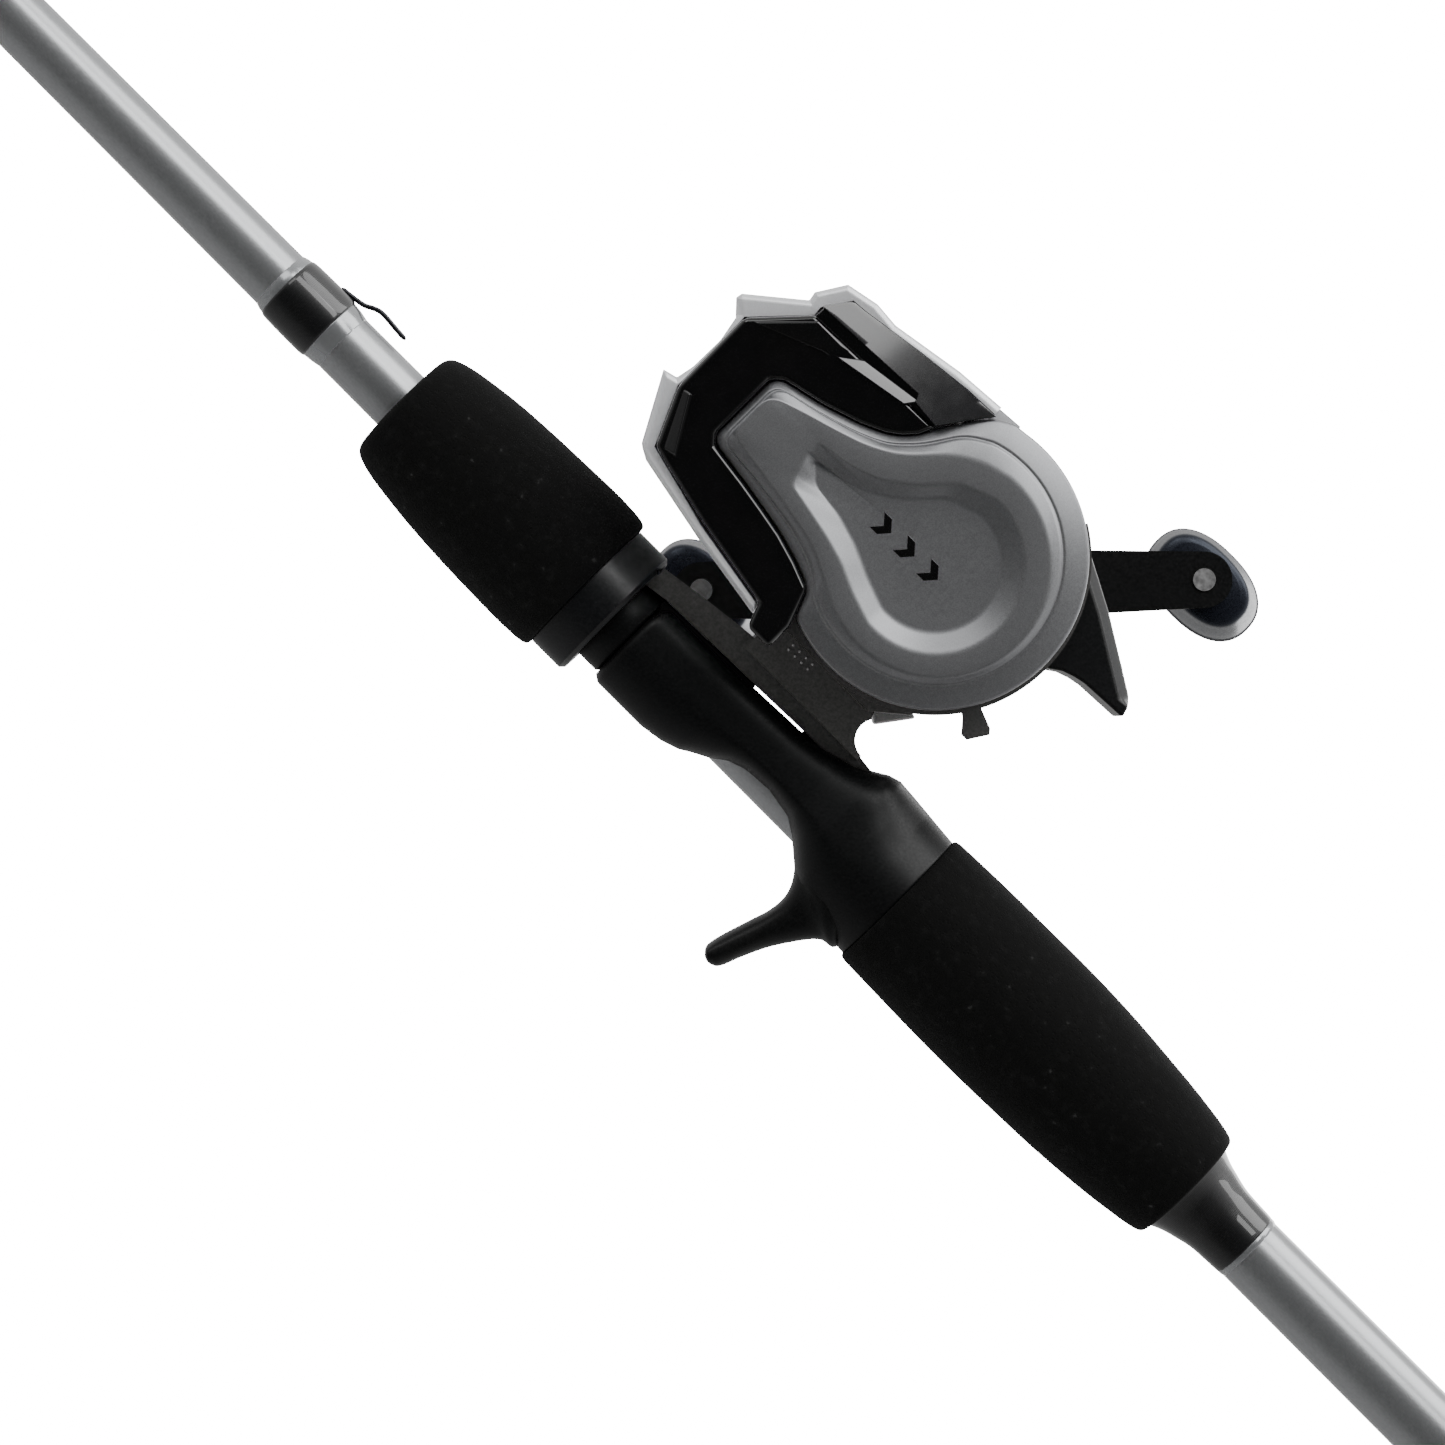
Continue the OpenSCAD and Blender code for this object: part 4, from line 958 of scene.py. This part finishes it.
def dome(name, outline, levels, material):
    """A cover: an outline drawn in by each level's cut and raised to its depth, with soft steps."""
    c = Vector((PC.x - 10, PC.y))
    angles = [math.radians(-180 + 1.0 * i) for i in range(360)]
    columns = []
    for a in angles:
        r = ray_radius(outline, a, c)
        section = [Vector((r - cut, y, 0)) for cut, y in levels]
        line = round_corners(section + [Vector((r * 0.4, levels[-1][1], 0))], 0.8, 4)
        columns.append([(c.x + p.x * math.cos(a), p.y, c.y + p.x * math.sin(a)) for p in line])
    top = levels[-1][1]
    return shell(name, columns, c, top, (levels[0][1], top - DOME_WALL), DOME_LINING, material)


SIDE_OUTLINE = keyhole(PC, 23.8, -95, 92, 44, [
    (-9.8, 63.6), (-29.8, 61.2), (-34.2, 55.8), (-41.5, 47), (-41.3, 33), (-37.5, 24), (-24, 20.4),
    (-4, 18.9)], 1.6)
SIDE_LEVELS = [(0, 15), (0, HANDLE_Y - 3.0), (1.6, HANDLE_Y - 1.5), (2.8, HANDLE_Y - 0.02)]
CAP_CENTRE = (HANDLE_C.x - 17.4, HANDLE_C.z)         # the spool tension cap's axis
TRIM_HOLE = [(-33, 31), (-19, 29.5), (-13, 32), (-15.5, 43.4), (-13, 55), (-19, 56), (-31, 53),
             (-34, 44)]


def disc_points(c, r, n=96):
    return [(c[0] + r * math.cos(w), c[1] + r * math.sin(w)) for w in turn(n)]


def handle_side():
    """The handle side's cover with holes for the drive shaft, the tension cap and the trim."""
    side = dome("handle_side_cover", SIDE_OUTLINE, SIDE_LEVELS, "side")
    carve(side, disc_points((HANDLE_C.x, HANDLE_C.z), 6.5), 20, 30, "side")
    carve(side, disc_points(CAP_CENTRE, 5.0), 20, 30, "side")
    carve(side, TRIM_HOLE, HANDLE_Y - 2.3, 30, "side")
    return side


place(handle_side(), ROOT, "handle_side_plate", slot="side_silver")
# the lug's near-white paint is painted light standing in for the light it would catch
LUG_OUTLINE = [(14.2, 18.9), (15.9, 18.35), (17.7, 17.15), (21.9, 22.8), (19.5, 23.5)]
place(prism("handle_side_lug", LUG_OUTLINE, 15.05, 22, "lug", 0.5, 3), ROOT, slot="side_silver")
# closes the slit above, between the frame and the palm plate
spacer = arc_points(PC, 22.6, 79, 101, 12) + arc_points(PC, 18.6, 101, 79, 12)
place(prism("frame_top_spacer", spacer, COVER_BACK, -14.3, "frame", 0.3, 2), ROOT,
      slot="frame_graphite")

# ---------------- knobs
LEAN = (0.062, 0.02)         # how far the paddle's middle drifts per millimetre of depth
KNOB_SQUARENESS = 0.86


def paddle_ring(c, y0, y, length, width):
    """The paddle's section at a distance along the knob."""
    return [(c.x + LEAN[0] * y + length * blunt(math.cos(w), KNOB_SQUARENESS), y0 + y,
             c.z + LEAN[1] * y + width * blunt(math.sin(w), KNOB_SQUARENESS)) for w in turn(72)]


# distance along the knob, half length and half width of its paddle
PADDLE = [(0.0, 7.0, 4.5), (0.35, 8.2, 5.2), (0.9, 8.8, 5.6), (2.0, 9.1, 5.8), (4.0, 9.4, 6.0),
          (7.5, 9.9, 6.4), (11.5, 10.3, 6.8), (15.0, 10.5, 6.95), (18.2, 10.4, 6.9), (20.4, 9.8, 6.3),
          (21.8, 8.7, 5.3), (22.5, 7.1, 4.1), (22.8, 5.0, 2.8)]
# distance along the knob of each edge of its rim band, and how far the band stands out there
RIM = ((16.2, 0.02), (16.6, 0.32), (18.0, 0.34), (18.6, 0.02))


def knob(body):
    """A paddle and a soft grey band round it."""
    c = local(joint(f"{body}_spin")["pos_m"])
    y0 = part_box(body)[0][1] / MM
    line = smooth_line(PADDLE, 3)
    v, f = loft([paddle_ring(c, y0, p.x, p.y, p.z) for p in line])
    place(mesh_object(f"{body}_paddle", v, f, "knob"), body, body, slot="knob_plastic")
    rim = []
    for y, grow in RIM:
        p = min(line, key=lambda q: abs(q.x - y))
        rim.append(paddle_ring(c, y0, y, p.y + grow, p.z + grow))
    inner = [[(c.x + (x - c.x) * 0.9, y, c.z + (z - c.z) * 0.9) for x, y, z in rim[k]] for k in (3, 0)]
    v, f = loft(rim + inner, wrap=True)
    place(mesh_object(f"{body}_rim", v, f, "knob_rim"), body, slot="knob_plastic")


knob("knob_1")
knob("knob_2")

# ---------------- thumb bar: a wedge with a chamfered crown
BAR_SIDE = [(20.4, 61.9), (26, 59.0), (31.3, 56.2), (37, 52.7), (43, 49.0), (44.0, 47.8), (44.6, 45.7),
            (36.6, 45.3), (34.6, 44.9), (32.6, 44.2), (30.4, 42.7), (28.6, 44.5), (27.5, 50),
            (24.5, 55), (20, 58.6), (14.2, 58.4), (15.4, 61.3)]
BAR_TOP = {(15.4, 61.3), (20.4, 61.9), (26, 59.0), (31.3, 56.2), (37, 52.7), (43, 49.0)}
BAR_HALF = 11.3
BAR_CHAMFER = (2.6, 1.7)     # across the bar and down from its crown


def bar_ring(y, drop):
    """The bar's outline at a depth, with its crown lowered."""
    return [(x - 0.5 * drop, y, z - 0.86 * drop) if (x, z) in BAR_TOP else (x, y, z)
            for x, z in BAR_SIDE]


def thumb_bar():
    """The bar across the spool, chamfered at both ends of its crown."""
    across, down = BAR_CHAMFER
    v, f = loft([bar_ring(-BAR_HALF, down), bar_ring(across - BAR_HALF, 0),
                 bar_ring(BAR_HALF - across, 0), bar_ring(BAR_HALF, down)])
    bar = mesh_object("thumb_bar_wedge", v, f, "thumb")
    soften(bar, 0.5, 3, 18)
    even_shading(bar)
    return bar


place(thumb_bar(), "thumb_bar", "thumb_bar", slot="seat_plastic")
RIB_START, RIB_STEP = 24.5, 3.4
for k in range(5):
    x0 = RIB_START + RIB_STEP * k
    z0 = 59.75 - 0.56 * (x0 - RIB_START)
    rib = [(x0, z0 - 0.5), (x0 + 1.1, z0 - 1.12), (x0 + 1.25, z0 - 0.85), (x0 + 0.15, z0 - 0.2)]
    place(prism(f"thumb_bar_rib_{k + 1}", rib, -8.5, 8.5, "thumb", 0.1, 2), "thumb_bar",
          slot="seat_plastic")

# ---------------- small dots on the palm side of the stem
STEM_FACE = -9.45            # palm side of the stem
dots = [(-0.75 + 1.45 * i, 15.7 + 1.05 * k) for i in range(4) for k in range(2)]
for number, (x, z) in enumerate(dots):
    v, f = loft([[(x + r * math.cos(w), STEM_FACE - proud, z + r * math.sin(w)) for w in turn(16)]
                 for r, proud in ((0.22, 0), (0.22, 0.13), (0.12, 0.19))])
    place(mesh_object(f"stem_dot_{number + 1}", v, f, "dot"), ROOT, slot="frame_graphite")

# ---------------- world, floor and lights
CAMERA_WHITE = 18.0      # brightness of the plain background as the camera sees it
WORLD_LEVEL = 0.9        # brightness of the studio as the object sees it
world = bpy.data.worlds.new("studio")
bpy.context.scene.world = world
world.use_nodes = True
background = world.node_tree.nodes["Background"]
view = node(world, "ShaderNodeTexCoord")
axes = node(world, "ShaderNodeSeparateXYZ")
link(world, view, "Generated", axes, "Vector")


def multiply_add(source, out, factor, offset):
    n = node(world, "ShaderNodeMath", operation="MULTIPLY_ADD")
    n.inputs[1].default_value = factor
    n.inputs[2].default_value = offset
    link(world, source, out, n, 0)
    return n


def world_ramp(axis, stops):
    """Brightness along one axis of the view direction, from -1 to 1."""
    half = multiply_add(axes, axis, 0.5, 0.5)
    return ramp(world, half, "Value", [(position, (value,)) for position, value in stops])


# the studio is dark behind the camera and grey below, pale behind the object and above it
depth = world_ramp("Y", [(0.0, 0.05), (0.12, 0.12), (0.35, 0.75), (0.6, 1.0)])
height = world_ramp("Z", [(0.15, 0.3), (0.4, 0.6), (0.52, 0.88), (0.75, 1.0)])
both = node(world, "ShaderNodeMixRGB", blend_type="MULTIPLY")
both.inputs["Fac"].default_value = 1
link(world, depth, "Color", both, "Color1")
link(world, height, "Color", both, "Color2")
# the camera sees plain white
path = node(world, "ShaderNodeLightPath")
pick = node(world, "ShaderNodeMixRGB")
link(world, path, "Is Camera Ray", pick, "Fac")
link(world, both, "Color", pick, "Color1")
pick.inputs["Color2"].default_value = (1, 1, 1, 1)
link(world, pick, "Color", background, "Color")
strength = multiply_add(path, "Is Camera Ray", CAMERA_WHITE - WORLD_LEVEL, WORLD_LEVEL)
link(world, strength, "Value", background, "Strength")

floor_mat = new_material("pale_floor", (0.86, 0.86, 0.86), 0.7)
vary(floor_mat, 3, (0.84, 0.84, 0.84), (0.88, 0.88, 0.88))
floor_mesh = bpy.data.meshes.new("floor")
fx0, fx1, fy, fz = -3.2, 1.4, 1.2, -0.42
floor_mesh.from_pydata([(fx0, -fy, fz), (fx1, -fy, fz), (fx1, fy, fz), (fx0, fy, fz)], [],
                       [(0, 1, 2, 3)])
floor_mesh.materials.append(floor_mat)
floor = bpy.data.objects.new("floor", floor_mesh)
bpy.context.collection.objects.link(floor)
floor.visible_glossy = False        # polished faces reflect the dark of the studio below


def area_light(name, position, target, size, watts):
    data = bpy.data.lights.new(name, "AREA")
    data.shape = "RECTANGLE"
    data.size, data.size_y = size
    data.energy = watts
    o = bpy.data.objects.new(name, data)
    bpy.context.collection.objects.link(o)
    o.location = position
    o.rotation_euler = (Vector(target) - Vector(position)).to_track_quat("-Z", "Y").to_euler()


centre = (SEAT, 0, 0.03)
area_light("top_softbox", (SEAT + 0.15, -0.25, 1.1), centre, (1.2, 0.7), 9)
area_light("upper_front_softbox", (SEAT - 0.1, -0.85, 0.85), centre, (1.0, 0.35), 5)
area_light("front_fill", (SEAT - 0.9, -0.9, 0.5), centre, (0.6, 0.6), 3)
area_light("rear_fill", (SEAT + 0.6, 1.2, 0.5), centre, (0.9, 0.9), 6)
